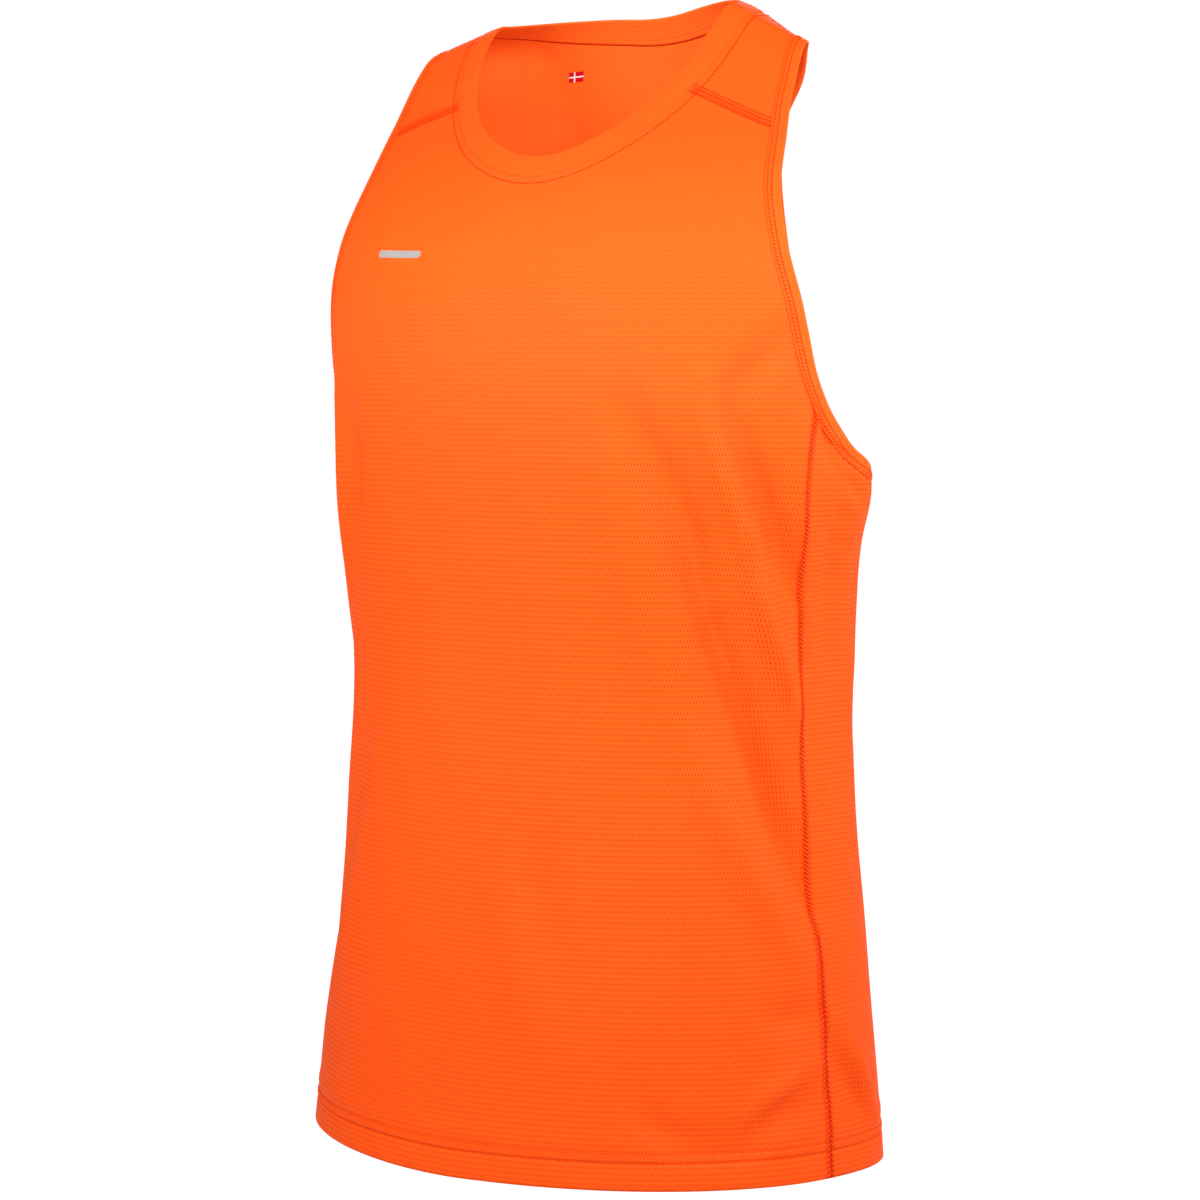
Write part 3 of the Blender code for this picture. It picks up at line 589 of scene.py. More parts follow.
def away_from(spots, line):
    """The distance of each spot from a line on the left, or from its mirror image, in metres."""
    quarters = np.arange(0, len(line) - 0.99, 0.25)
    points = bare_form(read_at(quarters, np.arange(len(line)), line))
    tree = KDTree(len(points))
    for k, point in enumerate(points):
        tree.insert(point, k)
    tree.balance()
    places = bare_form(pair(np.abs(spots[:, 0]), spots[:, 1]))
    return np.array([tree.find(place)[2] for place in places])


print("seams ready:", ", ".join(SEAM_LINES))

# %% [markdown]
# ## Giving the cloth its thickness
#
# The knit is under a millimetre thick, and two layers at the hem. A Solidify modifier could add the wall, but
# the hem's turned edge has to be thicker and round, so the inner side is made here: every vertex gets a partner
# further in along the surface's own direction, and the rims are closed with a middle row. At the hem that row
# bulges down, which makes a fold of it. Each vertex also carries its distances from the seams, for the finishes.


# %% A helper that makes a mesh piece
def new_piece(name, places, faces, corner_flat, marks):
    """A mesh object from places and faces, with a UV map in metres and named numbers on its vertices."""
    mesh = bpy.data.meshes.new(name)
    mesh.from_pydata([tuple(p) for p in places], [], faces)
    layer = mesh.uv_layers.new(name="laid_flat")
    layer.data.foreach_set("uv", np.ascontiguousarray(corner_flat, dtype=np.float32).ravel())
    for mark, values in marks.items():
        mesh.attributes.new(mark, "FLOAT", "POINT").data.foreach_set("value", np.asarray(values, dtype=np.float32))
    mesh.shade_smooth()
    mesh.validate()
    piece = bpy.data.objects.new(name, mesh)
    bpy.context.scene.collection.objects.link(piece)
    print(name, "has", len(faces), "faces")
    return piece


# %% A cloth panel with two sides
KNIT = 0.0009
HEM_FOLD = 0.0009
FOLD_BULGE = (0.0, 0.0, -0.0008)
SHARP_RIM = np.radians(65)


def sew_panel(name, spots, faces, laid):
    """The panel's outside, inside and rims."""
    normals = outward(spots, surface)
    outside = surface(spots)
    above = LENGTH - round_turn(spots)[1]
    wall = KNIT + HEM_FOLD * ease((HEM_DEPTH + 0.0008 - above) / 0.0012)
    inner = outside - wall[:, None] * normals
    a, b, c = outside[list(faces[0])]
    if np.cross(b - a, c - a) @ normals[faces[0][0]] < 0:
        faces = [tuple(reversed(face)) for face in faces]
    count = len(spots)
    sides = {(face[k - 1], face[k]) for face in faces for k in range(3)}
    rim = [(i, j) for i, j in sides if (j, i) not in sides]
    on_rim = sorted({i for i, _ in rim})
    middle = {i: 2 * count + k for k, i in enumerate(on_rim)}
    bulge = (above[on_rim] < 1e-5)[:, None] * FOLD_BULGE
    places = np.concatenate([outside, inner, (outside[on_rim] + inner[on_rim]) / 2 + bulge])
    all_faces = faces + [tuple(i + count for i in reversed(face)) for face in faces]
    for i, j in rim:
        all_faces += [(j, i, middle[i], middle[j]), (middle[j], middle[i], i + count, j + count)]
    of_vertex = np.concatenate([np.arange(count), np.arange(count), on_rim]).astype(int)
    corners = np.concatenate([laid[of_vertex[list(face)]] for face in all_faces])
    marks = {
        "inner": np.concatenate([np.zeros(count), np.ones(count), np.full(len(on_rim), 0.5)]),
        **{mark: away_from(spots, line)[of_vertex] for mark, line in SEAM_LINES.items()},
        "above_hem": above[of_vertex],
    }
    piece = new_piece(name, places, all_faces, corners, marks)
    piece.data.set_sharp_from_angle(angle=SHARP_RIM)
    return piece


front = sew_panel("front_cloth", front_spots, front_faces, front_flat)
back = sew_panel("back_cloth", back_spots, back_faces, back_flat)

# %% [markdown]
# ## Neckband and armhole bindings
#
# Each opening is edged with a strip of the same knit, folded over the raw edge and sewn through. Seen in
# section it is a flat loop: round at the fold, a little puffed between the stitch rows, and stepping down onto
# the panel at its seam. We draw that section as pairs of numbers, across the strip and out of the cloth, and
# sweep it round the opening.

# %% The sections, in millimetres across and out
NECK_SECTION = ((15.5, -0.2), (15.4, 0.25), (14.9, 0.45), (13.5, 0.55), (10.5, 0.65), (7.5, 0.70), (4.5, 0.65),
                (2.2, 0.55), (0.9, 0.38), (0.2, 0.10), (0.0, -0.25), (0.2, -0.60), (0.9, -0.85), (2.2, -1.0),
                (4.5, -1.1), (7.5, -1.2), (11.0, -1.25), (14.5, -1.25), (18.0, -1.25), (20.5, -1.1), (21.0, -0.8))
BINDING_SECTION = ((10.5, -0.2), (10.4, 0.25), (10.0, 0.50), (9.3, 0.60), (8.4, 0.42), (7.5, 0.62), (6.6, 0.66),
                   (5.6, 0.42), (4.6, 0.66), (3.2, 0.74), (1.8, 0.68), (0.8, 0.48), (0.2, 0.15), (0.0, -0.25),
                   (0.2, -0.65), (0.9, -0.90), (2.4, -1.05), (4.6, -1.1), (7.0, -1.1), (9.4, -1.05), (10.4, -0.9),
                   (10.6, -0.6))
INNER_SIDE = -0.3


def sweep_strip(name, loop, section, mirror):
    """A closed ring: the section swept round the loop. mirror is -1 on the wearer's right."""
    rings = []
    for reach, out in section:
        spots = step(loop, reach / MILLIMETRES) * (mirror, 1)
        rings.append(surface(spots) + out / MILLIMETRES * outward(spots, surface))
    edge = loop[0]
    round_loop = lengths_along(bare_form(np.concatenate([edge, edge[:1]])))
    round_section = lengths_along(np.array(section))
    round_section = np.append(round_section, round_section[-1] + 0.5) / MILLIMETRES
    count, many = len(edge), len(section)
    faces, corners = [], []
    for row in range(many):
        for i in range(count):
            four = ((row, i), (row, i + 1), (row + 1, i + 1), (row + 1, i))[::mirror]
            faces.append(tuple(r % many * count + k % count for r, k in four))
            corners += [(round_loop[k], round_section[r]) for r, k in four]
    marks = {"across": np.repeat([reach / MILLIMETRES for reach, _ in section], count),
             "inner": np.repeat([float(out < INNER_SIDE) for _, out in section], count)}
    return new_piece(name, np.concatenate(rings), faces, np.array(corners), marks)


neckband = sweep_strip("neckband_strip", neck, NECK_SECTION, 1)
binding_left = sweep_strip("binding_strip_left", armhole, BINDING_SECTION, 1)
binding_right = sweep_strip("binding_strip_right", armhole, BINDING_SECTION, -1)


# %% Turn any ring that came out inside out
def face_outwards(piece):
    """Flips the faces if the closed mesh encloses a negative volume."""
    mesh = piece.data
    mesh.calc_loop_triangles()
    corners = np.array([[mesh.vertices[i].co for i in triangle.vertices] for triangle in mesh.loop_triangles])
    volume = np.einsum("ij,ij->i", corners[:, 0], np.cross(corners[:, 1], corners[:, 2])).sum() / 6
    if volume < 0:
        mesh.flip_normals()
    print(piece.name, "holds", round(1e6 * abs(volume), 1), "cubic centimetres", "(turned)" if volume < 0 else "")


for piece in (front, back, neckband, binding_left, binding_right):
    face_outwards(piece)

# %% [markdown]
# ## One stitch, sewn thousands of times
#
# Thread shows as short rounded dashes that press into the knit. One stitch is modelled from a sphere: turned
# onto its side, stretched, and lifted in the middle like thread that goes down at both ends. It has only thirty
# triangles, because it comes back thousands of times. Copies are set along each seam line and joined, so that a
# whole row is one light mesh.


# %% Model the stitch
LIFTED, LIFT = 0.4, 0.18  # how far from its middle the stitch is lifted, and by how much


def model_stitch():
    """The places and faces of one stitch, a unit long along x, bulging up z."""
    bpy.ops.object.select_all(action="DESELECT")
    bpy.ops.mesh.primitive_uv_sphere_add(segments=5, ring_count=4, radius=0.5)
    ball = bpy.context.object
    bpy.ops.object.mode_set(mode="EDIT")
    bpy.ops.mesh.select_all(action="SELECT")
    bpy.ops.transform.rotate(value=np.pi / 2, orient_axis="Y", center_override=(0, 0, 0))
    bpy.ops.mesh.select_all(action="DESELECT")
    bpy.ops.object.mode_set(mode="OBJECT")
    for vertex in ball.data.vertices:
        vertex.select = abs(vertex.co.x) < LIFTED
    bpy.ops.object.mode_set(mode="EDIT")
    bpy.ops.transform.translate(value=(0, 0, LIFT))
    bpy.ops.object.mode_set(mode="OBJECT")
    places = np.array([vertex.co[:] for vertex in ball.data.vertices])
    faces = [tuple(face.vertices) for face in ball.data.polygons]
    bpy.data.objects.remove(ball, do_unlink=True)
    return places, faces


STITCH_PLACES, STITCH_FACES = model_stitch()
print("one stitch has", len(STITCH_FACES), "faces and spans", np.round(np.ptp(STITCH_PLACES, axis=0), 2))


# %% The stitches that are sewn with it, in metres
Stitch = namedtuple("Stitch", "pitch out length thick")
NECK_OUTSIDE, NECK_INSIDE = Stitch(0.0025, 0.00005, 0.0016, 0.00070), Stitch(0.0028, -0.00115, 0.0019, 0.00050)
COVER_ROW, COVER_BRIDGE = Stitch(0.0025, 0.00045, 0.0016, 0.00065), Stitch(0.0025, 0.00060, 0.0028, 0.00048)
HEM_ROW = Stitch(0.0027, 0.00008, 0.0018, 0.00065)
SHOULDER_ROW, SHOULDER_BRAID = Stitch(0.0021, 0.0003, 0.0014, 0.0008), Stitch(0.0021, 0.0002, 0.0024, 0.0008)
SIDE_WIDE, SIDE_BRAID = Stitch(0.0025, 0.0002, 0.0046, 0.0010), Stitch(0.0030, 0.0002, 0.0040, 0.0008)
print("the finest thread is", round(1000 * COVER_BRIDGE.thick, 2), "mm thick")


# %% Sew rows of it
AHEAD = 0.0005


def thread_line(spots, stitch, closed=False):
    """Evenly spaced places along a line of spots, with the directions along it and out of the cloth."""
    loop = np.concatenate([spots, spots[:1]]) if closed else spots
    ups = outward(loop, surface)
    places = surface(loop) + stitch.out * ups
    lengths = lengths_along(places)
    count = max(2, round(lengths[-1] / stitch.pitch))
    at = (np.arange(count) + 0.5) * lengths[-1] / count
    here, ahead, behind = (read_at(at + shift, lengths, places) for shift in (0.0, AHEAD, -AHEAD))
    return here, unit(ahead - behind), unit(read_at(at, lengths, ups))


def row_of(line, stitch, slant=0.0, aside=0.0):
    """Copies of the stitch for one row: turned by slant, in degrees, and moved aside, in metres."""
    here, along, up = line
    beside = np.cross(up, along)
    angle = np.radians(slant)
    lengthwise = np.cos(angle) * along + np.sin(angle) * beside
    ways = np.stack([lengthwise, np.cross(up, lengthwise), up], axis=1)
    shape = STITCH_PLACES * (stitch.length, stitch.thick, stitch.thick)
    return ((here + aside * beside)[:, None] + shape @ ways).reshape(-1, 3)


def round_row(loop, reach, stitch, slant=0.0, mirror=1):
    """A row all round an opening, this far from its edge."""
    line = step(loop, reach) * (mirror, 1)
    return row_of(thread_line(line, stitch, closed=True), stitch, slant * mirror)


def seam_rows(spots, mirror, stitch, *rows):
    """Rows along a seam, each with how far beside it they lie and how they slant."""
    line = thread_line(spots * (mirror, 1), stitch)
    return [row_of(line, stitch, slant * mirror, reach * mirror) for reach, slant in rows]


def sew(name, rows):
    """One joined mesh from several rows of stitches."""
    places = np.concatenate(rows)
    faces = [tuple(first + i for i in face) for first in range(0, len(places), len(STITCH_PLACES))
             for face in STITCH_FACES]
    piece = new_piece(name, places, faces, np.zeros((sum(map(len, faces)), 2)), {})
    face_outwards(piece)
    return piece


SIDES = (("left", 1), ("right", -1))
print("rows are sewn on the wearer's", " and ".join(dict(SIDES)))

# %% Topstitching round the neck, on the panels and inside the band
OUTSIDE_ROW, INSIDE_ROW = 0.0043, 0.0016
neck_stitches = sew("neck_stitches", [
    round_row(neck, NECKBAND_WIDTH + OUTSIDE_ROW, NECK_OUTSIDE),
    round_row(neck, NECKBAND_WIDTH - INSIDE_ROW, NECK_INSIDE)])

# %% Cover stitching on the armhole bindings
BINDING_ROWS = (0.0084, 0.0056)
arm_stitches = [sew("binding_stitches_" + side_name, [
    *(round_row(armhole, reach, COVER_ROW, 0.0, mirror) for reach in BINDING_ROWS),
    round_row(armhole, sum(BINDING_ROWS) / 2, COVER_BRIDGE, 58, mirror)])
    for side_name, mirror in SIDES]

# %% Two needles round the hem
all_round = np.linspace(-180, 180, 721)[:-1]
hem_lines = [unfold(pair(all_round, np.full(len(all_round), HEM_RUN - above))) for above in HEM_ROWS]
hem_stitches = sew("hem_stitches", [row_of(thread_line(line, HEM_ROW, closed=True), HEM_ROW)
                                    for line in hem_lines])

# %% Flat seams over the shoulders and down the sides
WIDE_TO, BRAID_FROM = 0.570, 0.565
upper_side, lower_side = side[side_drop < WIDE_TO], side[side_drop > BRAID_FROM]
shoulder_rows = [sew("shoulder_rows_" + side_name, seam_rows(
    shoulder, mirror, SHOULDER_ROW, (0.0010, 20), (0.0034, 20), (0.0058, 20)))
    for side_name, mirror in SIDES]
flat_seams = [sew("seam_stitches_" + side_name, [
    *seam_rows(upper_side, mirror, SIDE_WIDE, (0.0, 42)),
    *seam_rows(lower_side, mirror, SIDE_BRAID, (0.0020, 46), (-0.0020, -46)),
    *seam_rows(shoulder, mirror, SHOULDER_BRAID, (0.0022, 50), (0.0046, -50))])
    for side_name, mirror in SIDES]

# %% [markdown]
# ## Finishes
#
# Nodes are quicker to read as sums. The small class below wraps a socket, so that adding or multiplying two of
# them puts the Math node in for us. Everything else, such as a colour mix or a noise, comes from one method.


# %% Shader sums as expressions
class Number:
    """A socket that holds a number. Sums with it add Math nodes."""

    def __init__(self, finish, socket):
        self.finish, self.socket = finish, socket

    def math(self, operation, *others):
        return self.finish.put("ShaderNodeMath", {"operation": operation}, dict(enumerate((self, *others))))

    def __add__(self, other):
        return self.math("ADD", other)

    def __sub__(self, other):
        return self.math("SUBTRACT", other)

    def __mul__(self, other):
        return self.math("MULTIPLY", other)

    def __truediv__(self, other):
        return self.math("DIVIDE", other)

    def __rsub__(self, other):
        return self.finish.put("ShaderNodeMath", {"operation": "SUBTRACT"}, {0: other, 1: self})

    def __pow__(self, other):
        return self.math("POWER", other)

    __radd__, __rmul__ = __add__, __mul__

    def clamp(self):
        """Kept between 0 and 1."""
        return self.finish.put("ShaderNodeMath", {"operation": "MULTIPLY", "use_clamp": True}, {0: self, 1: 1.0})

    def bell(self, at, width):
        """1 where the number is at, falling softly to 0 a few widths away."""
        away = (self - at) / width
        return (away * away * -1.0).math("EXPONENT")


print("a number has a clamp, a bell and the signs + - * / and **")


# %% A material and its nodes
class Finish:
    """A new material and the nodes in it."""

    def __init__(self, name, values):
        self.material = bpy.data.materials.new(name)
        self.material.use_nodes = True
        self.tree = self.material.node_tree
        self.shader = self.tree.nodes["Principled BSDF"]
        for key, value in values.items():
            self.shader.inputs[key].default_value = value
        self.place = self.put("ShaderNodeTexCoord", output="Object")

    def put(self, kind, settings=(), values=(), output=0):
        """A node of that type, its settings first, then the values or links of its sockets."""
        node = self.tree.nodes.new(kind)
        for key, value in dict(settings).items():
            setattr(node, key, value)
        for key, value in dict(values).items():
            self.join(value, node.inputs[key])
        return Number(self, node.outputs[output])

    def join(self, value, socket):
        if isinstance(value, Number):
            self.tree.links.new(value.socket, socket)
        else:
            socket.default_value = value

    def mark(self, name):
        """A named number on the mesh."""
        return self.put("ShaderNodeAttribute", {"attribute_name": name}, output="Fac")

    def mix(self, share, one, other):
        """From one colour to another."""
        return self.put("ShaderNodeMix", {"data_type": "RGBA"}, {0: share, 6: one, 7: other}, output=2)

    def noise(self, scale, detail):
        """Random values that change softly from place to place."""
        return self.put("ShaderNodeTexNoise", values={"Vector": self.place, "Scale": scale, "Detail": detail})

    def height(self):
        """How high a place is, in metres."""
        return self.put("ShaderNodeSeparateXYZ", values={0: self.place}, output=2)

    def laid_flat(self):
        """The cloth's own two coordinates, in metres."""
        split = self.put("ShaderNodeSeparateXYZ", values={0: self.put("ShaderNodeUVMap", {"uv_map": "laid_flat"})})
        return split, Number(self, split.socket.node.outputs[1])

    def dress(self, pieces, colour, roughness, relief):
        """Joins these to the shader, the relief as a bump in millimetres, and gives the finish to the pieces."""
        bump = self.put("ShaderNodeBump", values={"Strength": 1.0, "Distance": 0.001, "Height": relief})
        for key, value in (("Base Color", colour), ("Roughness", roughness), ("Normal", bump)):
            self.join(value, self.shader.inputs[key])
        for piece in pieces:
            piece.data.materials.append(self.material)
        print(self.material.name, "on", ", ".join(piece.name for piece in pieces))


CLOTH_SHADER = {"Roughness": 0.56, "Specular IOR Level": 0.04, "Sheen Weight": 0.01, "Sheen Roughness": 0.45,
                "Sheen Tint": (1.0, 0.42, 0.10, 1.0)}
print("finish helpers ready")

# %% [markdown]
# ### The mesh knit
#
# The panels are a fine polyester knit with rows of tiny holes, each row set off by half a hole from the next.
# Every hole is a soft oval in one cell of a grid: darker and redder as painted shade, because light is lost in it,
# and sunk a little by the bump. They are closer along a row than from row to row, which is why the rows show from
# afar. Slow noise shifts the colour, since a knit is never dyed quite evenly. A painted highlight lightens the chest,
# painted shade darkens the shoulders and the hem, the inner side is painted paler to stand in for light on it, and
# painted shade darkens the cloth along the seams, in the grooves of their stitch rows and under the bindings.

# %% Colours of the cloth
CLOTH = (1.0, 0.110, 0.009, 1.0)
CLOTH_ODD = (0.97, 0.090, 0.006, 1.0)
# A painted highlight for the chest.
CLOTH_PAINTED_HIGHLIGHT = (1.0, 0.150, 0.022, 1.0)
# Painted shade for the shoulders, the hem and the holes, and the darker tone of the knit's rows and grain.
CLOTH_DARK_KNIT_AND_SHADE = (0.70, 0.018, 0.001, 1.0)
# The inner side is painted paler, to stand in for light on it.
CLOTH_INNER_PAINTED_LIGHT = (1.0, 0.205, 0.024, 1.0)
# Painted shade for the cloth along the seams, in the grooves of the stitch rows and under the bindings.
SEAM_SHADE = (0.64, 0.019, 0.0012, 1.0)


def dye_and_painted_light(finish, inner, slow, share, plain, odd, dark):
    """The knit's colour: patchy, painted paler inside, with a painted highlight over the chest and painted shade at
    the shoulders, the hem and in the holes, and darker rows and grain.
    """
    height = finish.height()
    patchy = finish.mix((slow - share) * share, finish.mix(inner, plain, CLOTH_INNER_PAINTED_LIGHT), odd)
    # A painted highlight over the chest.
    painted_chest_highlight = finish.mix(height.bell(-0.200, 0.060) * 0.30, patchy, CLOTH_PAINTED_HIGHLIGHT)
    # Painted shade towards the shoulders and towards the hem.
    painted_shade_by_height = (height * 14.0 + 1.95).clamp() * 0.26 + (height * -5.5 - 2.50).clamp() * 0.14
    return finish.mix(dark.clamp(), finish.mix(painted_shade_by_height, painted_chest_highlight, CLOTH_DARK_KNIT_AND_SHADE), CLOTH_DARK_KNIT_AND_SHADE)


def under_arm(finish):
    """0 at the shoulders and 1 from the armhole's lowest part down."""
    return (finish.height() * -12.0 - 2.0).clamp()


print("the cloth's orange:", CLOTH[:3])


# %% Holes in staggered rows
def holes(u, v, across, down, wide, high):
    """1 in the middle of each hole of a staggered grid, 0 between the holes."""
    x, y = u / across, v / down
    shift = (y.math("FLOOR") * 0.5).math("FRACT")
    cell_x = (x + shift).math("FRACT") - 0.5
    cell_y = y.math("FRACT") - 0.5
    away = (cell_x * cell_x) / wide**2 + (cell_y * cell_y) / high**2
    return (away * -1.0).math("EXPONENT")


HOLES_ACROSS, FRONT_ROWS, BACK_ROWS = 0.0018, 0.0033, 0.0031
print("holes in mm:", 1000 * HOLES_ACROSS, "by", 1000 * FRONT_ROWS, "in front,", 1000 * BACK_ROWS, "behind")


# %% The panels' finish
def knit_finish(name, piece, down, lined, braided, print_kind):
    """The panels' finish. lined darkens every row, and braided scales the painted shade on the cloth under the
    shoulder's cover stitch.
    """
    finish = Finish(name, CLOTH_SHADER)
    u, v = finish.laid_flat()
    inner, above_hem, from_neck, from_arm, from_side, from_shoulder = (
        finish.mark(mark) for mark in ("inner", "above_hem", *SEAM_LINES))
    slow, grain = finish.noise(9.0, 3.0), finish.noise(900.0, 2.0)
    hole = holes(u, v, HOLES_ACROSS, down, 0.23, 0.36)
    # The holes' painted shade is weaker high on the chest, where the light falls, and stronger lower down.
    hole_strength = (finish.height() * -5.0 - 0.50).clamp() * 0.45 + 0.22
    lines = ((v / down).math("FRACT") - 0.5).bell(0.0, 0.20) * lined
    side_line = from_side.bell(0.0, ((0.170 - above_hem) / 0.060).clamp() * 0.0010 + 0.0022)
    seam_line = from_shoulder.bell(0.0, 0.0006)
    # Painted shade along the side seam and under the shoulder's cover stitch.
    braid_shade = side_line * 0.95 + from_shoulder.bell(0.0034, 0.0026) * braided
    neck_line = from_neck.bell(OUTSIDE_ROW, 0.0006)
    hem_line = above_hem.bell(HEM_ROWS[0], 0.0008) + above_hem.bell(HEM_ROWS[1], 0.0005)
    # Painted shade under the armhole binding, only from the underarm down.
    arm_line = from_arm.bell(0.0004, 0.0011) * under_arm(finish)
    # All the painted shade along the seams, in the grooves of the stitch rows and under the bindings.
    seam_shade = (seam_line * 0.75 + braid_shade + neck_line * 0.20 + hem_line * 0.25 + arm_line * 0.55).clamp()
    knitted = dye_and_painted_light(finish, inner, slow, 0.35, CLOTH, CLOTH_ODD,
                   hole * hole_strength * 1.15 + lines + (grain - 0.5) * 0.18)
    colour, printed = print_kind(finish, u, v, inner, finish.mix(seam_shade, knitted, SEAM_SHADE))
    tucked = 1.0 - (from_neck / 0.0040).clamp()
    relief = (grain * 0.04 - hole * 0.30 * hole_strength - lines * 0.2 - seam_line * 0.06 - neck_line * 0.20
              + side_line * 0.10 + tucked * 0.20 + from_arm.bell(0.0015, 0.0014) * 0.12)
    finish.dress([piece], colour, 0.52 + hole * 0.16 + (slow - 0.5) * 0.10 - printed * 0.14,
                 relief * (1.0 - printed * 0.6))


print("the panels' finish reads the marks", ", ".join(SEAM_LINES))

# %% [markdown]
# ### The two small prints
#
# Inside the back neck there is a small flag, red with a white cross, pressed on as a film. High on one side of
# the chest sits a plain reflective mark, a grey bar with round ends. Both are painted in the panel's own
# finish with the UV map, as a film has no thickness to speak of, and they are smoother than the knit around them.

# %% A flag and a bar from sums
PRINT_EDGE = 0.00012
FLAG_AT, FLAG_SIZE = (-0.0760, 0.2412), (0.0110, 0.0075)
BAR_AT, BAR_HALF, BAR_ROUND = (-0.0946, -0.1235), 0.0175, 0.0025
FLAG_RED, FLAG_WHITE, REFLECTIVE = (0.55, 0.006, 0.018, 1.0), (0.86, 0.83, 0.82, 1.0), (0.36, 0.33, 0.32, 1.0)


def block(u, v, left, low, wide, high):
    """1 inside a rectangle of the cloth, with edges as sharp as a print's."""
    sides = (u - left, left + wide - u, v - low, low + high - v)
    one, two, three, four = ((side / PRINT_EDGE).clamp() for side in sides)
    return one * two * three * four


def back_print(finish, u, v, inner, colour):
    """The flag, on the inner side only."""
    (left, low), (wide, high) = FLAG_AT, FLAG_SIZE
    field = block(u, v, left, low, wide, high) * (inner - 0.6).math("SIGN").clamp()
    cross = block(u, v, left + 0.0036, low, 0.0012, high) + block(u, v, left, low + 0.0032, wide, 0.0012)
    return finish.mix(field, colour, finish.mix(cross.clamp(), FLAG_RED, FLAG_WHITE)), field


def front_print(finish, u, v, inner, colour):
    """A reflective bar with round ends, 40 by 5 mm, on the outer side only."""
    middle_u, middle_v = BAR_AT
    along = ((u - middle_u).math("ABSOLUTE") - BAR_HALF).math("MAXIMUM", 0.0)
    reach = (along * along + (v - middle_v) * (v - middle_v)) ** 0.5
    bar = ((BAR_ROUND - reach) / PRINT_EDGE).clamp() * (0.4 - inner).math("SIGN").clamp()
    return finish.mix(bar, colour, REFLECTIVE), bar


knit_finish("knit_front", front, FRONT_ROWS, 0.0, 0.0, front_print)
knit_finish("knit_back", back, BACK_ROWS, 0.04, 0.28, back_print)

# %% [markdown]
# ### Strips and thread
#
# The folded strips are the same yarn knitted closer, with rows of pinprick holes along them, and painted shade
# darkens them in the ditch of their seam, along their stitch rows and, inside, along their edge. The thread is a
# little redder and shinier than the cloth.

# %% The strips' finish
STRIP_GROUND = (1.0, 0.116, 0.010, 1.0)
# Painted shade for the strips along their seam and stitch rows, and on the inside along their edge.
STRIP_SEAM_SHADE, INNER_EDGE_SHADE = (0.70, 0.030, 0.002, 1.0), (0.50, 0.006, 0.002, 1.0)
RIB = 0.00095


def strip_finish(name, pieces, width, ditch_shade_strength, rows):
    """A folded strip: rows of holes, with painted shade by its seam, along its stitch rows and along its inner edge.
    """
    finish = Finish(name, CLOTH_SHADER)
    u, v = finish.laid_flat()
    across, inner = finish.mark("across"), finish.mark("inner")
    grain, slow = finish.noise(900.0, 2.0), finish.noise(14.0, 2.0)
    hole = holes(u, v, 0.0020, 0.0034, 0.22, 0.20)
    rib = (v * (2 * np.pi / RIB)).math("COSINE") * 0.5 + 0.5
    # Painted shade in the ditch of the seam, stronger under the arm.
    ditch_shade = across.bell(width, 0.0006) * (under_arm(finish) * 0.8 + 1.0) * ditch_shade_strength
    # Painted shade along the strip's inner edge, on the inside only.
    edge = across.bell(width + 0.0046, 0.0008) * (inner - 0.5).math("SIGN").clamp()
    seam_shade = sum((across.bell(row, 0.0005) for row in rows), ditch_shade)
    knitted = dye_and_painted_light(finish, inner, slow, 0.3, STRIP_GROUND, CLOTH, hole * 0.34 + rib * 0.06 + (grain - 0.5) * 0.10)
    stitched = finish.mix((seam_shade * 0.55).clamp(), knitted, STRIP_SEAM_SHADE)
    finish.dress(pieces, finish.mix(edge.clamp(), stitched, INNER_EDGE_SHADE), 0.55 + hole * 0.14,
                 rib * 0.05 + grain * 0.03 - hole * 0.12 - seam_shade * 0.10)


strip_finish("knit_neckband", [neckband], NECKBAND_WIDTH, 0.25, ())
strip_finish("knit_binding", [binding_left, binding_right], BINDING_WIDTH, 1.0, BINDING_ROWS)


# %% The thread's finish
def thread_finish(name, pieces, colour, deep):
    """Thread: a shade apart from the cloth, with a fine twist."""
    finish = Finish(name, CLOTH_SHADER)
    twist = finish.noise(1400.0, 1.0)
    finish.dress(pieces, finish.mix(twist, colour, deep), 0.45 + twist * 0.2, twist * 0.04)


thread_finish("thread_rows", [hem_stitches, *arm_stitches], (0.92, 0.070, 0.005, 1.0), (0.76, 0.042, 0.003, 1.0))
thread_finish("thread_deep", [neck_stitches, *shoulder_rows], (0.74, 0.034, 0.003, 1.0), (0.58, 0.018, 0.001, 1.0))
thread_finish("thread_seams", flat_seams, (0.98, 0.125, 0.011, 1.0), (0.92, 0.080, 0.006, 1.0))

# %% [markdown]
# ## Standing for the solids
#
# Each soft piece now rides on the model's one body and replaces the solid whose shape it took, which is hidden.
# The size of each cut laid flat is printed.


# %% Hide each solid, print each cut's size, and put the pieces on the body
def laid_area(spots, faces):
    """The area of one side of a panel, before any fold, in square metres."""
    a, b, c = (bare_form(spots[corner]) for corner in np.transpose(faces))
    return float(np.linalg.norm(np.cross(b - a, c - a), axis=1).sum() / 2)


for piece, node, spots, faces, laid, extras in (
        (front, "front_panel", front_spots, front_faces, front_flat, [hem_stitches]),
        (back, "back_panel", back_spots, back_faces, back_flat, [*flat_seams, *shoulder_rows])):
    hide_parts(node)
    width, length = (float(x) for x in np.ptp(laid, axis=0))
    area = laid_area(spots, faces)
    print(piece.name, "cut", round(width, 3), "by", round(length, 3), "m,", round(area, 3), "square metres")

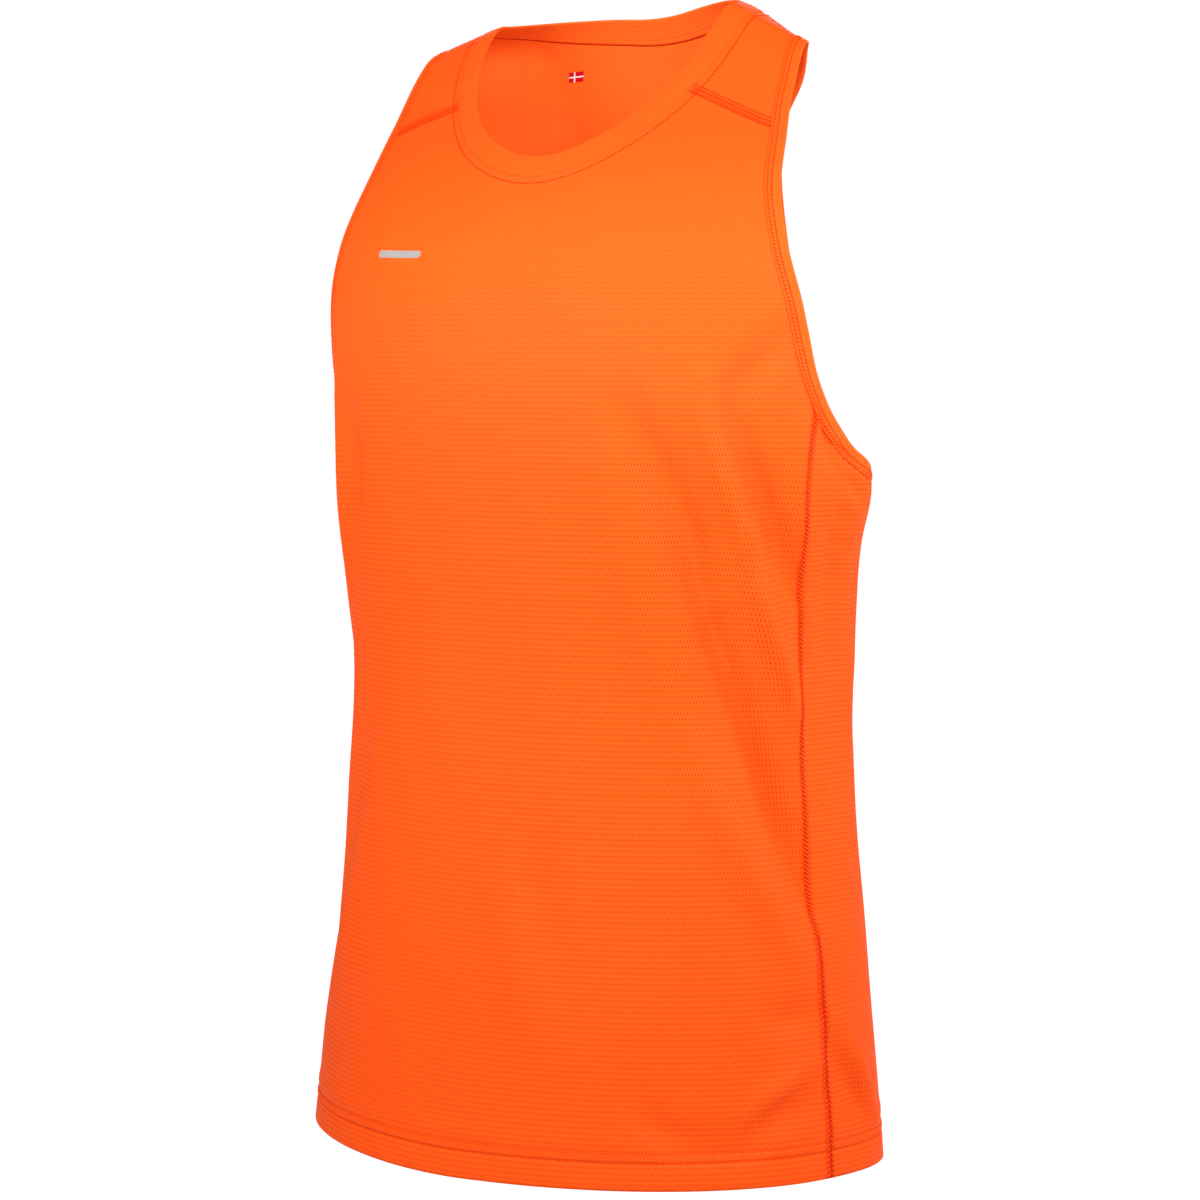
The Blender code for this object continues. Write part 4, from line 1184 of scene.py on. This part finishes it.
neck_length = length_of(step(neck, NECKBAND_WIDTH / 2))
arm_length = length_of(step(armhole, BINDING_WIDTH / 2))
for piece, node, length, width, extras in (
        (neckband, "neckband", neck_length, NECKBAND_WIDTH, [neck_stitches]),
        (binding_left, "armhole_binding_left", arm_length, BINDING_WIDTH, [arm_stitches[0]]),
        (binding_right, "armhole_binding_right", arm_length, BINDING_WIDTH, [arm_stitches[1]])):
    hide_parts(node)
    print(piece.name, "strip", round(length, 3), "by", width, "m")

for piece in (front, back, hem_stitches, *flat_seams, *shoulder_rows):
    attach(piece, "root")
for piece in (neckband, binding_left, binding_right, neck_stitches, *arm_stitches):
    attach(piece, "root")

# %% [markdown]
# ## Floor, light and camera
#
# The studio is plain: a pale floor well below the hem, a bright even surround, and four large soft lamps, the
# fourth of them behind so that the back isn't lost in shade. A small lamp would draw hard shadows in every crease.
# The floor glows faintly, more so far out, because no lamp reaches it evenly. The camera stands to the wearer's
# left of the front, three metres off with a long lens, so that the top keeps its proportions.

# %% A pale floor
FLOOR_HEIGHT = -1.5
GLOW_NEAR, GLOW_FAR, FAINT = 2.0, 3.6, 0.25
bpy.ops.object.select_all(action="DESELECT")
bpy.ops.mesh.primitive_circle_add(vertices=96, radius=9.0, fill_type="NGON", location=(0.0, 0.0, 0.0))
floor = bpy.context.object
floor.name = "floor"
bpy.ops.object.mode_set(mode="EDIT")
bpy.ops.mesh.select_all(action="SELECT")
bpy.ops.transform.translate(value=(0, 0, FLOOR_HEIGHT))
bpy.ops.object.mode_set(mode="OBJECT")
floor_finish = Finish("pale_floor", {"Roughness": 0.7, "Specular IOR Level": 0.04, "Emission Strength": 1.0,
                                     "Base Color": (0.86, 0.86, 0.86, 1.0)})
away = floor_finish.put("ShaderNodeVectorMath", {"operation": "LENGTH"}, {0: floor_finish.place}, output="Value")
glow = ((away - GLOW_NEAR) / (GLOW_FAR - GLOW_NEAR)).clamp() * (1 - FAINT) + FAINT
floor_finish.join(floor_finish.put("ShaderNodeCombineColor", values={0: glow, 1: glow, 2: glow}),
                  floor_finish.shader.inputs["Emission Color"])
floor.data.materials.append(floor_finish.material)
print("floor at", FLOOR_HEIGHT, "m")

# %% Soft lamps that face the middle of the cloth
MIDDLE = Vector((0.0, 0.0, -0.30))
for name, place, size, watts in (
        ("key", (0.975, -0.563, 0.350), 0.70, 15.3),
        ("front", (-0.291, -1.088, 0.350), 1.10, 17.8),
        ("side", (1.155, 0.809, 0.213), 1.00, 13.6),
        ("back", (-0.950, 1.360, 0.250), 1.10, 15.0)):
    lamp = bpy.data.lights.new(name, "AREA")
    lamp.size, lamp.energy = size, watts
    holder = bpy.data.objects.new(name, lamp)
    holder.location = place
    holder.visible_camera = False
    holder.rotation_euler = (MIDDLE - Vector(place)).to_track_quat("-Z", "Y").to_euler()
    bpy.context.scene.collection.objects.link(holder)
    print(name, "lamp of", watts, "W")

# %% A bright surround
WHITE, SURROUND = (1.0, 1.0, 1.0, 1.0), 0.10
world = bpy.data.worlds.new("surround")
world.use_nodes = True
nodes, links = world.node_tree.nodes, world.node_tree.links
lights, seen = nodes["Background"], nodes.new("ShaderNodeBackground")
path, chosen = nodes.new("ShaderNodeLightPath"), nodes.new("ShaderNodeMixShader")
lights.inputs["Strength"].default_value = SURROUND
lights.inputs["Color"].default_value = seen.inputs["Color"].default_value = WHITE
for start, end in ((path.outputs["Is Camera Ray"], chosen.inputs[0]), (lights.outputs[0], chosen.inputs[1]),
                   (seen.outputs[0], chosen.inputs[2]), (chosen.outputs[0], nodes["World Output"].inputs["Surface"])):
    links.new(start, end)
bpy.context.scene.world = world
bpy.context.scene.view_settings.view_transform = "Standard"
print("the surround lights the cloth with a strength of", SURROUND)

# %% The camera
TURN, LOOK_DOWN, LOOK_ASIDE = np.radians((34.61, 3.525, 0.030))
AWAY, HEIGHT, LENS = 2.9716, -0.1734, 143.1
camera = bpy.data.objects.new("camera", bpy.data.cameras.new("camera"))
camera.data.lens, camera.data.sensor_width = LENS, 36.0
camera.location = (AWAY * np.sin(TURN), -AWAY * np.cos(TURN), HEIGHT)
camera.rotation_euler = (np.pi / 2 - LOOK_DOWN, 0.0, TURN + LOOK_ASIDE)
bpy.context.scene.collection.objects.link(camera)
bpy.context.scene.camera = camera
print("camera", [round(x, 3) for x in camera.location], "lens", round(camera.data.lens, 1))
